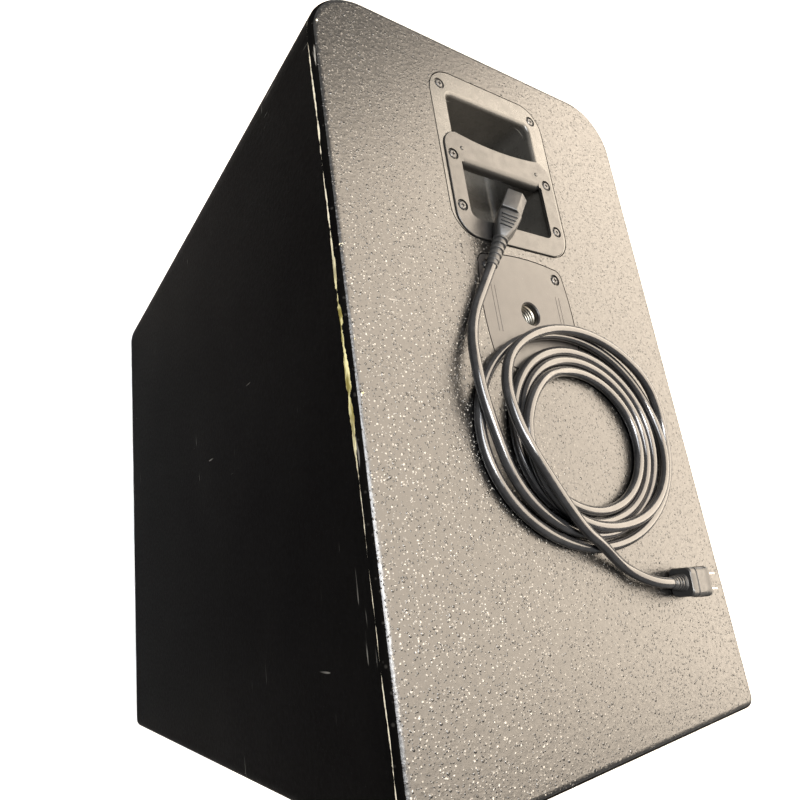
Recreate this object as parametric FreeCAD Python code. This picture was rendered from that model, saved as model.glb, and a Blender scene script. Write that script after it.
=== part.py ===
"""Powered bass cabinet for a stage: a plywood box with round front corners, a recessed top handle, a threaded
pole socket, a 12-inch woofer behind a steel grille, an amplifier tray in the back, and a mains lead on top.

Millimetres. +Z is up, the grille faces -Y, and the origin is on the floor, below the middle of the box.
"""

import FreeCAD, Part
import math
import os

V = FreeCAD.Vector
X_AXIS = V(1, 0, 0)
Y_AXIS = V(0, 1, 0)
Z_AXIS = V(0, 0, 1)

# ---------------------------------------------------------------- driving dimensions
WIDTH = 384.0               # outside of the box, along X
DEPTH = 645.0               # outside of the box, along Y
BOX_HEIGHT = 696.0          # outside of the box, along Z, without its feet
FOOT_HEIGHT = 12.0
PLY = 15.0                  # thickness of the box's walls
FRONT_CORNER = 56.0         # radius of the two upright front corners
REAR_CORNER = 10.0          # radius of the two upright rear corners
EDGE_ROUND = 7.0            # round-over of the top and bottom edges

BAFFLE_SET_BACK = 40.0      # from the front of the box to the front of the baffle
BAFFLE_THICKNESS = 18.0
GRILLE_HALF_WIDTH = 155.5
POST_HALF_GAP = 156.5       # half the gap between the two front corner posts

HANDLE_Y = -193.0           # middle of the top handle
HANDLE_WIDTH = 145.0
HANDLE_LENGTH = 177.0
HANDLE_CORNER = 27.0
CUP_DEPTH = 68.0
CUP_Y = HANDLE_Y + 3.5      # middle of the cup's bowl, kept clear of the baffle
CUP_WIDTH = 106.0           # inside the bowl
CUP_LENGTH = 136.0
CUP_CORNER = 12.0
CUP_WALL = 3.0
BAR_REAR = HANDLE_Y + 11.5  # rear face of the bar that the hand holds
SCREW_RECESS = 5.8          # radius of the round recess that each screw's head sits in

POLE_Y = -38.5              # axis of the pole socket
POLE_THREAD_RADIUS = 10.0   # M20
POLE_THREAD_LENGTH = 37.0
POLE_HOLE_RADIUS = 10.6     # hole in the plate, over the thread

WOOFER_Z = 470.0
PORT_Z = 135.0
PORT_X = 78.0
PORT_RADIUS = 50.0

AMP_Z = 430.0               # middle of the amplifier tray
AMP_WIDTH = 300.0
AMP_HEIGHT = 232.0
PANEL_SET_BACK = 23.5       # from the back of the box to the amplifier panel's face

CORD_RADIUS = 4.5
COIL_CENTRE = (-27.0, 72.3)     # middle of the coil of cord, along X and Y
COIL_OUTER = (120.0, 95.8)      # half-axes of its outermost strand's centreline
COIL_INNER = (74.0, 64.5)       # half-axes of its innermost strand's centreline
COIL_INNER_SHIFT = (-3.0, 6.2)
COIL_HEIGHT = 24.0

GAP = 0.3                   # between curved faces that nearly touch

# ---------------------------------------------------------------- derived dimensions
HALF_W = WIDTH / 2
HALF_D = DEPTH / 2
BOTTOM = FOOT_HEIGHT
TOP = FOOT_HEIGHT + BOX_HEIGHT
INNER_HALF_W = HALF_W - PLY
INNER_BOTTOM = BOTTOM + PLY
INNER_TOP = TOP - PLY
BACK_INNER = HALF_D - PLY
BAFFLE_FRONT = -HALF_D + BAFFLE_SET_BACK
BAFFLE_BACK = BAFFLE_FRONT + BAFFLE_THICKNESS
GRILLE_FRONT = -HALF_D + 4.5
GRILLE_SHEET = 1.6
PANEL_FACE = HALF_D - PANEL_SET_BACK
PANEL_THICKNESS = 3.0
PANEL_BACK = PANEL_FACE - PANEL_THICKNESS
TRAY_BACK = HALF_D - 110.0
TRAY_SHEET = 2.0

HANDLE_SCREWS = [(side * 60.0, HANDLE_Y + along) for side in (-1, 1) for along in (-72.5, 6.5, 59.5)]
POLE_SCREWS = [(sx * 43.0, POLE_Y + sy * 40.5) for sx in (-1, 1) for sy in (-1, 1)]
FEET = [(sx * 145.0, sy * 265.0) for sx in (-1, 1) for sy in (-1, 1)]
STANDOFFS = [(side * 143.0, z) for side in (-1, 1) for z in (62.0, 262.0, 658.0)]
PORTS = [(side * PORT_X, PORT_Z) for side in (-1, 1)]
BOLT_CIRCLE = 145.5
BOLT_ANGLES = [math.radians(45 * i + 22.5) for i in range(8)]
WOOFER_BOLTS = [(BOLT_CIRCLE * math.cos(a), WOOFER_Z + BOLT_CIRCLE * math.sin(a)) for a in BOLT_ANGLES]

INLET = (-112.0, 352.0)                      # mains inlet on the amplifier panel: X, Z
SWITCH = (-112.0, 398.0)                     # power switch
INPUT_SOCKETS = [(108.0, 500.0), (108.0, 456.0)]
OUTPUT_SOCKETS = [(68.0, 500.0), (68.0, 456.0)]
KNOBS = [(-10.0, 498.0), (-58.0, 498.0)]
LATCH_RISE = 12.6                            # latch tab above the middle of its socket
BUTTONS = [(-10.0, 460.0), (-58.0, 460.0)]
LIGHTS = [(-112.0, z) for z in (450.0, 468.0, 486.0, 504.0)]
PANEL_SCREWS = [(sx * 140.0, AMP_Z + sz * 106.0) for sx in (-1, 1) for sz in (-1, 0, 1)]
HEAT_SINK_X = (-78.0, 92.0)
HEAT_SINK_Z = (330.0, 424.0)


# ---------------------------------------------------------------- helpers
def save(name, *pieces):
    """Write one sub-part, made of one or more separate solids."""
    shape = pieces[0] if len(pieces) == 1 else Part.makeCompound(list(pieces))
    shape.exportStep(os.path.join("parts", name + ".step"))
    solids = shape.Solids
    print("%-24s %2d solid(s) %12.0f mm3 %s" % (name, len(solids), shape.Volume, shape.isValid()))


def block(x0, x1, y0, y1, z0, z1):
    return Part.makeBox(x1 - x0, y1 - y0, z1 - z0, V(x0, y0, z0))


def rod(base, axis, radius, length):
    return Part.makeCylinder(radius, length, V(*base), axis)


def ring(base, axis, outer, inner, length):
    return rod(base, axis, outer, length).cut(rod(base, axis, inner, length))


def rounded_rect(centre, u, v, width, height, corners):
    """Wire of a rectangle with round corners; corners run (+u, -v), (+u, +v), (-u, +v), (-u, -v)."""
    edges = []
    previous = None
    first = None
    for quarter, (su, sv) in enumerate([(1, -1), (1, 1), (-1, 1), (-1, -1)]):
        radius = corners[quarter]
        middle = centre + u * (su * (width / 2 - radius)) + v * (sv * (height / 2 - radius))
        start, halfway, end = [
            middle + u * (radius * math.cos(angle)) + v * (radius * math.sin(angle))
            for angle in [math.radians(90 * quarter - 90 + turn) for turn in (0, 45, 90)]]
        if previous is None:
            first = start
        else:
            edges.append(Part.LineSegment(previous, start).toShape())
        edges.append(Part.Arc(start, halfway, end).toShape())
        previous = end
    edges.append(Part.LineSegment(previous, first).toShape())
    return Part.Wire(edges)


def slab(x, y, width, length, corner, z0, z1, rear_corner=None):
    """A level plate with round corners, standing from z0 to z1."""
    rear = rear_corner or corner
    wire = rounded_rect(V(x, y, z0), X_AXIS, Y_AXIS, width, length, [corner, rear, rear, corner])
    return Part.Face(wire).extrude(V(0, 0, z1 - z0))


def upright(x, z, width, height, corner, y0, y1):
    """A plate that faces along Y, with round corners, from y0 to y1."""
    wire = rounded_rect(V(x, y0, z), X_AXIS, Z_AXIS, width, height, [corner] * 4)
    return Part.Face(wire).extrude(V(0, y1 - y0, 0))


def box_plan(z0, z1):
    """The whole box's plan, with its round front corners, from z0 to z1."""
    corners = [FRONT_CORNER, REAR_CORNER, REAR_CORNER, FRONT_CORNER]
    wire = rounded_rect(V(0, 0, z0), X_AXIS, Y_AXIS, WIDTH, DEPTH, corners)
    return Part.Face(wire).extrude(V(0, 0, z1 - z0))


def turned(profile, base, axis=Y_AXIS):
    """Turn a closed outline of (radius, distance along axis) about the axis through base."""
    side = X_AXIS
    points = [V(*base) + side * r + axis * d for r, d in profile]
    wire = Part.makePolygon(points + [points[0]])
    return Part.Face(wire).revolve(V(*base), axis, 360)


def round_edges_at(shape, z, radius):
    edges = [e for e in shape.Edges if all(abs(p.Z - z) < 1e-6 for p in e.Vertexes)]
    return shape.makeFillet(radius, edges)


def down_holes(points, top, depth, radius):
    return [rod((x, y, top - depth), Z_AXIS, radius, depth) for x, y in points]


def back_holes(points, front, depth, radius):
    return [rod((x, front, z), Y_AXIS, radius, depth) for x, z in points]


def cross_slot(x, y, z, axis, size):
    """The cross-shaped recess of a screw's head, sunk 1.2 mm below a face at the given point."""
    width = 1.1
    depth = 1.2
    if axis == "up":
        return [block(x - size, x + size, y - width / 2, y + width / 2, z - depth, z + 1),
                block(x - width / 2, x + width / 2, y - size, y + size, z - depth, z + 1)]
    if axis == "front":
        return [block(x - size, x + size, y - 1, y + depth, z - width / 2, z + width / 2),
                block(x - width / 2, x + width / 2, y - 1, y + depth, z - size, z + size)]
    return [block(x - size, x + size, y - depth, y + 1, z - width / 2, z + width / 2),
            block(x - width / 2, x + width / 2, y - depth, y + 1, z - size, z + size)]


def tube_path(points):
    """Straight runs joined by tangent arcs, as large as the runs on each side allow."""
    edges = []
    start = points[0]
    radii = []
    for before, corner, after in zip(points, points[1:], points[2:]):
        back = (before - corner).normalize()
        on = (after - corner).normalize()
        turn = math.pi - back.getAngle(on)
        reach = 0.45 * min((before - corner).Length, (after - corner).Length)
        radius = reach / math.tan(turn / 2)
        radii.append(radius)
        inward = (back + on).normalize()
        crown = corner + inward * (radius / math.cos(turn / 2) - radius)
        entry = corner + back * reach
        leave = corner + on * reach
        edges.append(Part.LineSegment(start, entry).toShape())
        edges.append(Part.Arc(entry, crown, leave).toShape())
        start = leave
    edges.append(Part.LineSegment(start, points[-1]).toShape())
    return Part.Wire(edges), radii


def cord_tube(name, points):
    path, radii = tube_path(points)
    aim = (points[1] - points[0]).normalize()
    section = Part.Wire([Part.Circle(points[0], aim, CORD_RADIUS).toShape()])
    tube = path.makePipeShell([section], True, True)
    wanted = math.pi * CORD_RADIUS ** 2 * path.Length
    print("  %s: length %.0f mm, radii %s, volume ratio %.4f"
          % (name, path.Length, ["%.0f" % r for r in radii], tube.Volume / wanted))
    return tube


# ---------------------------------------------------------------- the wooden box
def pole_outline(grow, z0, z1):
    """The pole plate's barrel-sided square, grown outwards by the given gap."""
    side = 52.5 + grow
    bulge = 56.0 + grow
    shoulder = 43.0
    height = 51.0 + grow
    crown = 55.0 + grow
    shoulder_low = 41.0
    knuckle_x = 49.8 + grow * 0.7
    knuckle_y = 48.3 + grow * 0.7
    edges = []
    right_top = [V(shoulder, height, 0), V(knuckle_x, knuckle_y, 0), V(side, shoulder_low, 0)]
    for turn in range(2):
        flip = -1 if turn else 1
        a, b, c = [p * flip for p in right_top]
        d, e, f = [V(c.x, -c.y, 0), V(b.x, -b.y, 0), V(a.x, -a.y, 0)]
        edges.append(Part.Arc(a, b, c).toShape())
        edges.append(Part.Arc(c, V(bulge * flip, 0, 0), d).toShape())
        edges.append(Part.Arc(d, e, f).toShape())
        edges.append(Part.Arc(f, V(0, -crown * flip, 0), V(-f.x, f.y, 0)).toShape())
    wire = Part.Wire(Part.__sortEdges__(edges))
    wire.translate(V(0, POLE_Y, z0))
    return Part.Face(wire).extrude(V(0, 0, z1 - z0))


def make_top_panel():
    panel = round_edges_at(box_plan(INNER_TOP, TOP), TOP, EDGE_ROUND)
    seam = 1.1
    pocket = slab(0, HANDLE_Y, HANDLE_WIDTH + 2 * seam, HANDLE_LENGTH + 2 * seam, HANDLE_CORNER + seam,
                  TOP - 3.2, TOP + 1)
    clear = CUP_WALL + 0.5
    cup_hole = slab(0, CUP_Y, CUP_WIDTH + 2 * clear, CUP_LENGTH + 2 * clear, CUP_CORNER + clear,
                    INNER_TOP - 1, TOP)
    pole_pocket = pole_outline(seam, TOP - 3.2, TOP + 1)
    insert_hole = rod((0, POLE_Y, INNER_TOP - 1), Z_AXIS, 17.0 + GAP, PLY + 2)
    pilots = down_holes(HANDLE_SCREWS, TOP, 14.0, 1.75) + down_holes(POLE_SCREWS, TOP, 14.0, 1.75)
    for tool in [pocket, cup_hole, pole_pocket, insert_hole] + pilots:
        panel = panel.cut(tool)
    save("top_panel", panel)


def make_bottom_panel():
    panel = round_edges_at(box_plan(BOTTOM, INNER_BOTTOM), BOTTOM, EDGE_ROUND)
    save("bottom_panel", panel)


def make_side_panels():
    for name, side in (("left_side_panel", -1), ("right_side_panel", 1)):
        inner = side * INNER_HALF_W
        outer = side * HALF_W
        region = block(min(inner, outer), max(inner, outer), -HALF_D + FRONT_CORNER, HALF_D,
                       INNER_BOTTOM, INNER_TOP)
        save(name, box_plan(INNER_BOTTOM, INNER_TOP).common(region))


def make_corner_posts():
    for name, side in (("left_corner_post", -1), ("right_corner_post", 1)):
        inner = side * POST_HALF_GAP
        outer = side * HALF_W
        region = block(min(inner, outer), max(inner, outer), -HALF_D, -HALF_D + FRONT_CORNER,
                       INNER_BOTTOM, INNER_TOP)
        seat = block(-INNER_HALF_W, INNER_HALF_W, BAFFLE_FRONT, 0, INNER_BOTTOM - 1, INNER_TOP + 1)
        save(name, box_plan(INNER_BOTTOM, INNER_TOP).common(region).cut(seat))


def make_rear_panel():
    panel = block(-INNER_HALF_W, INNER_HALF_W, BACK_INNER, HALF_D, INNER_BOTTOM, INNER_TOP)
    tray_hole = upright(0, AMP_Z, AMP_WIDTH + 1, AMP_HEIGHT + 1, 6.0, BACK_INNER - 1, HALF_D + 1)
    rebate = upright(0, AMP_Z, AMP_WIDTH + 31, AMP_HEIGHT + 31, 8.0, HALF_D - TRAY_SHEET - 0.2, HALF_D + 1)
    save("rear_panel", panel.cut(tray_hole).cut(rebate))


def make_front_baffle():
    panel = block(-INNER_HALF_W, INNER_HALF_W, BAFFLE_FRONT, BAFFLE_BACK, INNER_BOTTOM, INNER_TOP)
    cutters = [rod((0, BAFFLE_FRONT - 1, WOOFER_Z), Y_AXIS, 141.5, BAFFLE_THICKNESS + 2)]
    cutters += back_holes(PORTS, BAFFLE_FRONT - 1, BAFFLE_THICKNESS + 2, PORT_RADIUS + 3 + GAP)
    cutters += back_holes(STANDOFFS, BAFFLE_FRONT - 1, 12.0, 2.0)
    cutters += back_holes(WOOFER_BOLTS, BAFFLE_FRONT - 1, BAFFLE_THICKNESS + 2, 2.8)
    for tool in cutters:
        panel = panel.cut(tool)
    save("front_baffle", panel)


def make_shelf_brace():
    """A level brace across the inside, with two large round-cornered windows."""
    z0 = 262.0
    panel = block(-INNER_HALF_W, INNER_HALF_W, BAFFLE_BACK, BACK_INNER, z0, z0 + PLY)
    for y in (-125.0, 140.0):
        panel = panel.cut(slab(0, y, 250.0, 205.0, 40.0, z0 - 1, z0 + PLY + 1))
    save("shelf_brace", panel)


def make_damping_wool():
    save("damping_wool", block(-INNER_HALF_W, -INNER_HALF_W + 22, -180, 160, 300, 600))


def make_feet():
    """Four rubber feet, each a tapered disc with a screw hole in its middle."""
    feet = []
    for x, y in FEET:
        foot = Part.makeCone(17.5, 20.0, FOOT_HEIGHT, V(x, y, 0), Z_AXIS)
        feet.append(foot.cut(rod((x, y, -1), Z_AXIS, 5.5, 7.0)))
    save("rubber_feet", *feet)


# ---------------------------------------------------------------- the handle
def make_handle_cup():
    """The moulded cup: a flange let into the top, a rolled lip, and a deep bowl below it."""
    flange = slab(0, HANDLE_Y, HANDLE_WIDTH, HANDLE_LENGTH, HANDLE_CORNER, TOP - 3.0, TOP)
    outside = slab(0, CUP_Y, CUP_WIDTH + 2 * CUP_WALL, CUP_LENGTH + 2 * CUP_WALL, CUP_CORNER + CUP_WALL,
                   TOP - CUP_DEPTH, TOP - 3.0)
    outside = round_edges_at(outside, TOP - CUP_DEPTH, 12.0)
    floor = TOP - CUP_DEPTH + CUP_WALL
    hollow = slab(0, CUP_Y, CUP_WIDTH, CUP_LENGTH, CUP_CORNER, floor, TOP - 3.0)
    hollow = round_edges_at(hollow, floor, 9.0)
    mouth = slab(0, CUP_Y, CUP_WIDTH, CUP_LENGTH, 7.0, TOP - 8.0, TOP + 1)
    cup = flange.fuse(outside).cut(hollow).cut(mouth)
    level_edges = [e for e in cup.Edges if all(abs(p.Z - TOP) < 1e-6 for p in e.Vertexes)]
    lip = [e for e in level_edges if abs(e.CenterOfMass.x) < CUP_WIDTH / 2 + 1
           and abs(e.CenterOfMass.y - CUP_Y) < CUP_LENGTH / 2 + 1]
    cup = cup.makeFillet(4.0, lip)
    frame_seat = slab(0, HANDLE_Y + 34.3, 137.6, 109.8, 18.6, TOP - 1.4, TOP + 1, 23.6)
    heads = down_holes(HANDLE_SCREWS, TOP + 1, 2.9, SCREW_RECESS)
    for tool in [frame_seat] + heads + down_holes(HANDLE_SCREWS, TOP + 1, 6.0, 2.1):
        cup = cup.cut(tool)
    save("handle_cup", cup.removeSplitter())


def make_handle_bar():
    """The grip: a frame laid into the cup's flange, whose front rail is the bar that the hand holds."""
    z0 = TOP - 1.4
    z1 = TOP + 1.6
    plan = slab(0, HANDLE_Y + 34.3, 136.4, 108.6, 18.0, z0, z1, 23.0)
    sag = 5.0
    sweep = (54.0 ** 2 + sag ** 2) / (2 * sag)
    plan = plan.cut(rod((0, HANDLE_Y - 20.0 + sag - sweep, z0 - 1), Z_AXIS, sweep, 5.0))
    plan = round_edges_at(plan, z1, 0.9)
    half_window = 51.5
    window_length = 58.0
    window_y = BAR_REAR + window_length / 2
    window = slab(0, window_y, 2 * half_window, window_length, 1.5, z0 - 1, z1 + 1, 8.0)
    half_grip = half_window - 2.1
    grip = block(-half_grip, half_grip, HANDLE_Y - 14.4, BAR_REAR, TOP - 13.0, z0)
    grip_edges = [e for e in grip.Edges
                  if abs(e.CenterOfMass.z - (TOP - 13.0)) < 1e-6 and abs(e.CenterOfMass.x) < 1e-6]
    grip = grip.makeFillet(8.0, grip_edges)
    roll = 5.6
    half_roll = half_window - 2.8
    over_roll = block(-half_roll, half_roll, BAR_REAR - roll, BAR_REAR + 1, z1 - roll, z1 + 1)
    over_roll = over_roll.cut(rod((-half_window, BAR_REAR - roll, z1 - roll), X_AXIS, roll, 2 * half_window))
    frame = plan.cut(window).fuse(grip).removeSplitter().cut(over_roll)
    for x, y in HANDLE_SCREWS:
        if y > HANDLE_Y - 20:
            frame = frame.cut(rod((x, y, z0 - 1), Z_AXIS, 2.1, 8.0))
            frame = frame.cut(rod((x, y, z1 - 2.0), Z_AXIS, SCREW_RECESS, 4.0))
    save("handle_bar_frame", frame.removeSplitter())


def wood_screw(x, y, seat, sink, head_radius):
    """A screw whose domed head stands on the seat and whose shank goes down from it."""
    height = 2.2
    head = rod((x, y, seat), Z_AXIS, head_radius, height)
    head = round_edges_at(head, seat + height, 1.5)
    shank = rod((x, y, seat - sink), Z_AXIS, 1.7, sink)
    screw = head.fuse(shank)
    for slot in cross_slot(x, y, seat + height, "up", 2.0):
        screw = screw.cut(slot)
    return screw


def make_handle_screws():
    screws = []
    for x, y in HANDLE_SCREWS:
        on_frame = y > HANDLE_Y - 20
        seat = TOP - 0.4 if on_frame else TOP - 1.9
        screws.append(wood_screw(x, y, seat, 9.0, 4.2))
    save("handle_screws", *screws)


# ---------------------------------------------------------------- the pole socket
def make_pole_plate():
    """The plastic plate, with a chamfered hole over the insert's thread."""
    plate = pole_outline(0.0, TOP - 3.0, TOP)
    plate = plate.cut(rod((0, POLE_Y, TOP - 4), Z_AXIS, POLE_HOLE_RADIUS, 6.0))
    plate = plate.cut(Part.makeCone(POLE_HOLE_RADIUS, POLE_HOLE_RADIUS + 1.0, 1.0, V(0, POLE_Y, TOP - 1.0)))
    for x, y in POLE_SCREWS:
        plate = plate.cut(rod((x, y, TOP - 4), Z_AXIS, 2.1, 6.0))
        plate = plate.cut(rod((x, y, TOP - 1.9), Z_AXIS, SCREW_RECESS, 4.0))
    save("pole_plate", plate)


def make_pole_insert():
    """The steel insert below the plate, with the threaded hole through it."""
    length = POLE_THREAD_LENGTH
    top = TOP - 3.2
    insert = rod((0, POLE_Y, top - length), Z_AXIS, 17.0, length)
    hole = rod((0, POLE_Y, top - length), Z_AXIS, POLE_THREAD_RADIUS, length)
    save("pole_insert", insert.cut(hole))


def make_pole_screws():
    save("pole_plate_screws", *[wood_screw(x, y, TOP - 1.9, 9.0, 3.9) for x, y in POLE_SCREWS])


# ---------------------------------------------------------------- the grille
def make_front_grille():
    """A folded steel sheet with rows of square openings, every other row shifted by half a step."""
    z0 = INNER_BOTTOM + 1.0
    z1 = INNER_TOP - 1.0
    back = GRILLE_FRONT + GRILLE_SHEET
    half = GRILLE_HALF_WIDTH
    tray = block(-half, half, GRILLE_FRONT, back + 8.0, z0, z1)
    inside = block(-half + GRILLE_SHEET, half - GRILLE_SHEET, back, back + 9.0,
                   z0 + GRILLE_SHEET, z1 - GRILLE_SHEET)
    sheet = tray.cut(inside)
    step = 21.0
    hole = 15.0
    rows = 30
    holes = []
    for row in range(rows):
        z = (z0 + z1) / 2 + (row - (rows - 1) / 2) * step
        count = 14 - row % 2
        for column in range(count):
            x = (column - (count - 1) / 2) * step
            if all(math.hypot(x - sx, z - sz) > 15.0 for sx, sz in STANDOFFS):
                holes.append(block(x - hole / 2, x + hole / 2, GRILLE_FRONT - 1, back + 1,
                                   z - hole / 2, z + hole / 2))
    for tool in [Part.makeCompound(holes)] + back_holes(STANDOFFS, GRILLE_FRONT - 1, 4.0, 2.4):
        sheet = sheet.cut(tool)
    save("front_grille", sheet)


def make_grille_foam():
    back = GRILLE_FRONT + GRILLE_SHEET
    half = GRILLE_HALF_WIDTH - GRILLE_SHEET - GAP
    foam = block(-half, half, back, back + 4.0, INNER_BOTTOM + 3.2, INNER_TOP - 3.2)
    for tool in back_holes(STANDOFFS, back - 1, 6.0, 7.5):
        foam = foam.cut(tool)
    save("grille_foam", foam)


def make_standoffs():
    """Six round spacers that hold the grille off the baffle."""
    back = GRILLE_FRONT + GRILLE_SHEET
    length = BAFFLE_FRONT - back
    save("grille_standoffs", *[ring((x, back, z), Y_AXIS, 7.0, 2.4, length) for x, z in STANDOFFS])


def make_grille_screws():
    screws = []
    length = BAFFLE_FRONT + 10.0 - GRILLE_FRONT
    for x, z in STANDOFFS:
        head = rod((x, GRILLE_FRONT - 2.2, z), Y_AXIS, 4.5, 2.2)
        screw = head.fuse(rod((x, GRILLE_FRONT, z), Y_AXIS, 1.95, length))
        for slot in cross_slot(x, GRILLE_FRONT - 2.2, z, "front", 2.4):
            screw = screw.cut(slot)
        screws.append(screw)
    save("grille_screws", *screws)


# ---------------------------------------------------------------- the woofer
def woofer_part(profile):
    """Turn an outline of (radius, depth behind the baffle's face) about the woofer's axis."""
    return turned(profile, (0, BAFFLE_FRONT, WOOFER_Z))


def make_woofer_basket():
    outside = [(138.0, -5.0), (153.0, -5.0), (153.0, 0.0), (140.5, 0.0), (140.5, 22.0), (86.0, 92.0),
               (79.0, 95.0), (79.0, 98.0)]
    inside = [(46.0, 98.0), (46.0, 95.0), (76.5, 95.0), (84.0, 89.5), (138.0, 20.0)]
    basket = woofer_part(outside + inside)
    for i in range(6):
        window = upright(0, WOOFER_Z + 112.0, 74.0, 36.0, 12.0, BAFFLE_FRONT + 24.0, BAFFLE_FRONT + 84.0)
        window.rotate(V(0, 0, WOOFER_Z), Y_AXIS, 60 * i)
        basket = basket.cut(window)
    for tool in back_holes(WOOFER_BOLTS, BAFFLE_FRONT - 6, 8.0, 2.8):
        basket = basket.cut(tool)
    save("woofer_basket", basket)


def make_woofer_motor():
    save("woofer_top_plate", woofer_part([(41.0, 98.0), (75.0, 98.0), (75.0, 106.0), (41.0, 106.0)]))
    save("woofer_magnet", woofer_part([(46.0, 106.0), (80.0, 106.0), (80.0, 126.0), (46.0, 126.0)]))
    yoke = [(10.0, 98.0), (36.5, 98.0), (36.5, 126.0), (75.0, 126.0), (75.0, 134.0), (10.0, 134.0)]
    save("woofer_yoke", woofer_part(yoke))


def make_woofer_cone():
    save("woofer_cone", woofer_part([(113.5, -2.0), (113.5, -0.2), (39.5, 46.5), (39.5, 44.7)]))
    dome = Part.Arc(V(38.0, 41.0, 0), V(21.0, 30.5, 0), V(0, 27.0, 0))
    points = [p for p in dome.discretize(9)]
    outer = [(p.x, p.y) for p in points]
    inner = [(p.x, p.y + 1.2) for p in reversed(points)]
    save("woofer_dust_cap", woofer_part(outer + inner))
    save("voice_coil", woofer_part([(38.3, 41.0), (39.3, 41.0), (39.3, 114.0), (38.3, 114.0)]))


def make_woofer_surround():
    """The half roll between the cone and the basket."""
    middle = 124.8
    roll = 10.5
    sheet = 1.4
    angles = [math.radians(a) for a in range(0, 181, 15)]
    outside = [(middle - roll * math.cos(a), -1.0 - roll * math.sin(a)) for a in angles]
    inner = roll - sheet
    inside = [(middle - inner * math.cos(a), -1.0 - inner * math.sin(a)) for a in reversed(angles)]
    save("woofer_surround", woofer_part(outside + inside))


def make_woofer_spider():
    """A corrugated disc that centres the voice coil."""
    radii = [39.6 + 2.2 * i for i in range(16)]
    front = [(r, 60.0 + 2.0 * math.sin(math.radians(90 * i))) for i, r in enumerate(radii)]
    back = [(r, d + 0.9) for r, d in reversed(front)]
    save("woofer_spider", woofer_part(front + back))


def make_woofer_screws():
    screws = []
    for x, z in WOOFER_BOLTS:
        head = rod((x, BAFFLE_FRONT - 9.0, z), Y_AXIS, 4.5, 4.0)
        screw = head.fuse(rod((x, BAFFLE_FRONT - 5.0, z), Y_AXIS, 2.5, 28.0))
        screws.append(screw.cut(rod((x, BAFFLE_FRONT - 10.0, z), Y_AXIS, 2.0, 3.4)))
    save("woofer_screws", *screws)


def make_port_tubes():
    """Two flanged tubes through the baffle."""
    profile = [(PORT_RADIUS, -4.0), (PORT_RADIUS + 10, -4.0), (PORT_RADIUS + 10, 0.0), (PORT_RADIUS + 3, 0.0),
               (PORT_RADIUS + 3, 190.0), (PORT_RADIUS, 190.0)]
    save("port_tubes", *[turned(profile, (x, BAFFLE_FRONT, z)) for x, z in PORTS])


# ---------------------------------------------------------------- the amplifier
def panel_openings():
    """Everything that passes through the amplifier panel, as cutters."""
    y0 = PANEL_BACK - 1
    y1 = PANEL_FACE + 1
    cutters = [upright(INLET[0], INLET[1], 31.0, 23.0, 3.0, y0, y1)]
    cutters.append(upright(SWITCH[0], SWITCH[1], 24.6, 28.6, 1.5, y0, y1))
    depth = y1 - y0
    cutters += back_holes(INPUT_SOCKETS + OUTPUT_SOCKETS, y0, depth, 12.0 + GAP)
    cutters += back_holes(KNOBS, y0, depth, 3.4)
    cutters += [upright(x, z + LATCH_RISE, 6.4, 4.4, 0.5, y0, y1) for x, z in INPUT_SOCKETS]
    cutters += [upright(x, z, 7.0, 7.0, 1.0, y0, y1) for x, z in BUTTONS]
    cutters += back_holes(LIGHTS, y0, depth, 2.5)
    cutters += back_holes(PANEL_SCREWS, y0, depth, 2.0)
    return cutters


def make_amp_tray():
    """The steel tray that seals the amplifier off from the box, with a rim let into the rear panel."""
    outside = upright(0, AMP_Z, AMP_WIDTH, AMP_HEIGHT, 5.0, TRAY_BACK, HALF_D - TRAY_SHEET)
    rim = upright(0, AMP_Z, AMP_WIDTH + 30, AMP_HEIGHT + 30, 7.5, HALF_D - TRAY_SHEET, HALF_D)
    hollow = upright(0, AMP_Z, AMP_WIDTH - 2 * TRAY_SHEET, AMP_HEIGHT - 2 * TRAY_SHEET, 3.0,
                     TRAY_BACK + TRAY_SHEET, HALF_D + 1)
    tray = outside.fuse(rim).cut(hollow)
    for x, z in PANEL_SCREWS:
        tray = tray.fuse(upright(x, z, 13.0, 11.0, 1.0, PANEL_BACK - 12.0, PANEL_BACK).cut(
            rod((x, PANEL_BACK - 13.0, z), Y_AXIS, 2.0, 14.0)))
        wall_side = 1 if x > 0 else -1
        link = block(min(x, wall_side * 149.0), max(x, wall_side * 149.0), PANEL_BACK - 12.0,
                     PANEL_BACK - 9.0, z - 4.0, z + 4.0)
        tray = tray.fuse(link.cut(rod((x, PANEL_BACK - 13.0, z), Y_AXIS, 2.0, 14.0)))
    save("amp_tray", tray.removeSplitter())


def make_amp_panel():
    panel = upright(0, AMP_Z, AMP_WIDTH - 5.0, AMP_HEIGHT - 5.0, 2.5, PANEL_BACK, PANEL_FACE)
    for tool in panel_openings():
        panel = panel.cut(tool)
    save("amp_panel", panel)


def make_heat_sink():
    """A flat base on the panel's inner face, with a row of upright fins."""
    x0, x1 = HEAT_SINK_X
    z0, z1 = HEAT_SINK_Z
    sink = block(x0, x1, PANEL_BACK - 5.0, PANEL_BACK, z0, z1)
    count = 15
    thickness = 2.4
    for i in range(count):
        x = x0 + i * (x1 - x0 - thickness) / (count - 1)
        sink = sink.fuse(block(x, x + thickness, PANEL_BACK - 32.0, PANEL_BACK - 5.0, z0, z1))
    save("heat_sink", sink.removeSplitter())


def make_amp_inside():
    save("amp_board", block(-132, 132, PANEL_BACK - 29.6, PANEL_BACK - 28.0, 432, 530))
    floor = TRAY_BACK + TRAY_SHEET
    save("mains_transformer", ring((-78, floor, 376), Y_AXIS, 46.0, 12.0, 38.0))
    cans = []
    for i in range(4):
        can = rod((10.0 + 30.0 * i, floor, 372), Y_AXIS, 12.5, 42.0)
        cans.append(can)
    save("filter_capacitors", *cans)


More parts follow.
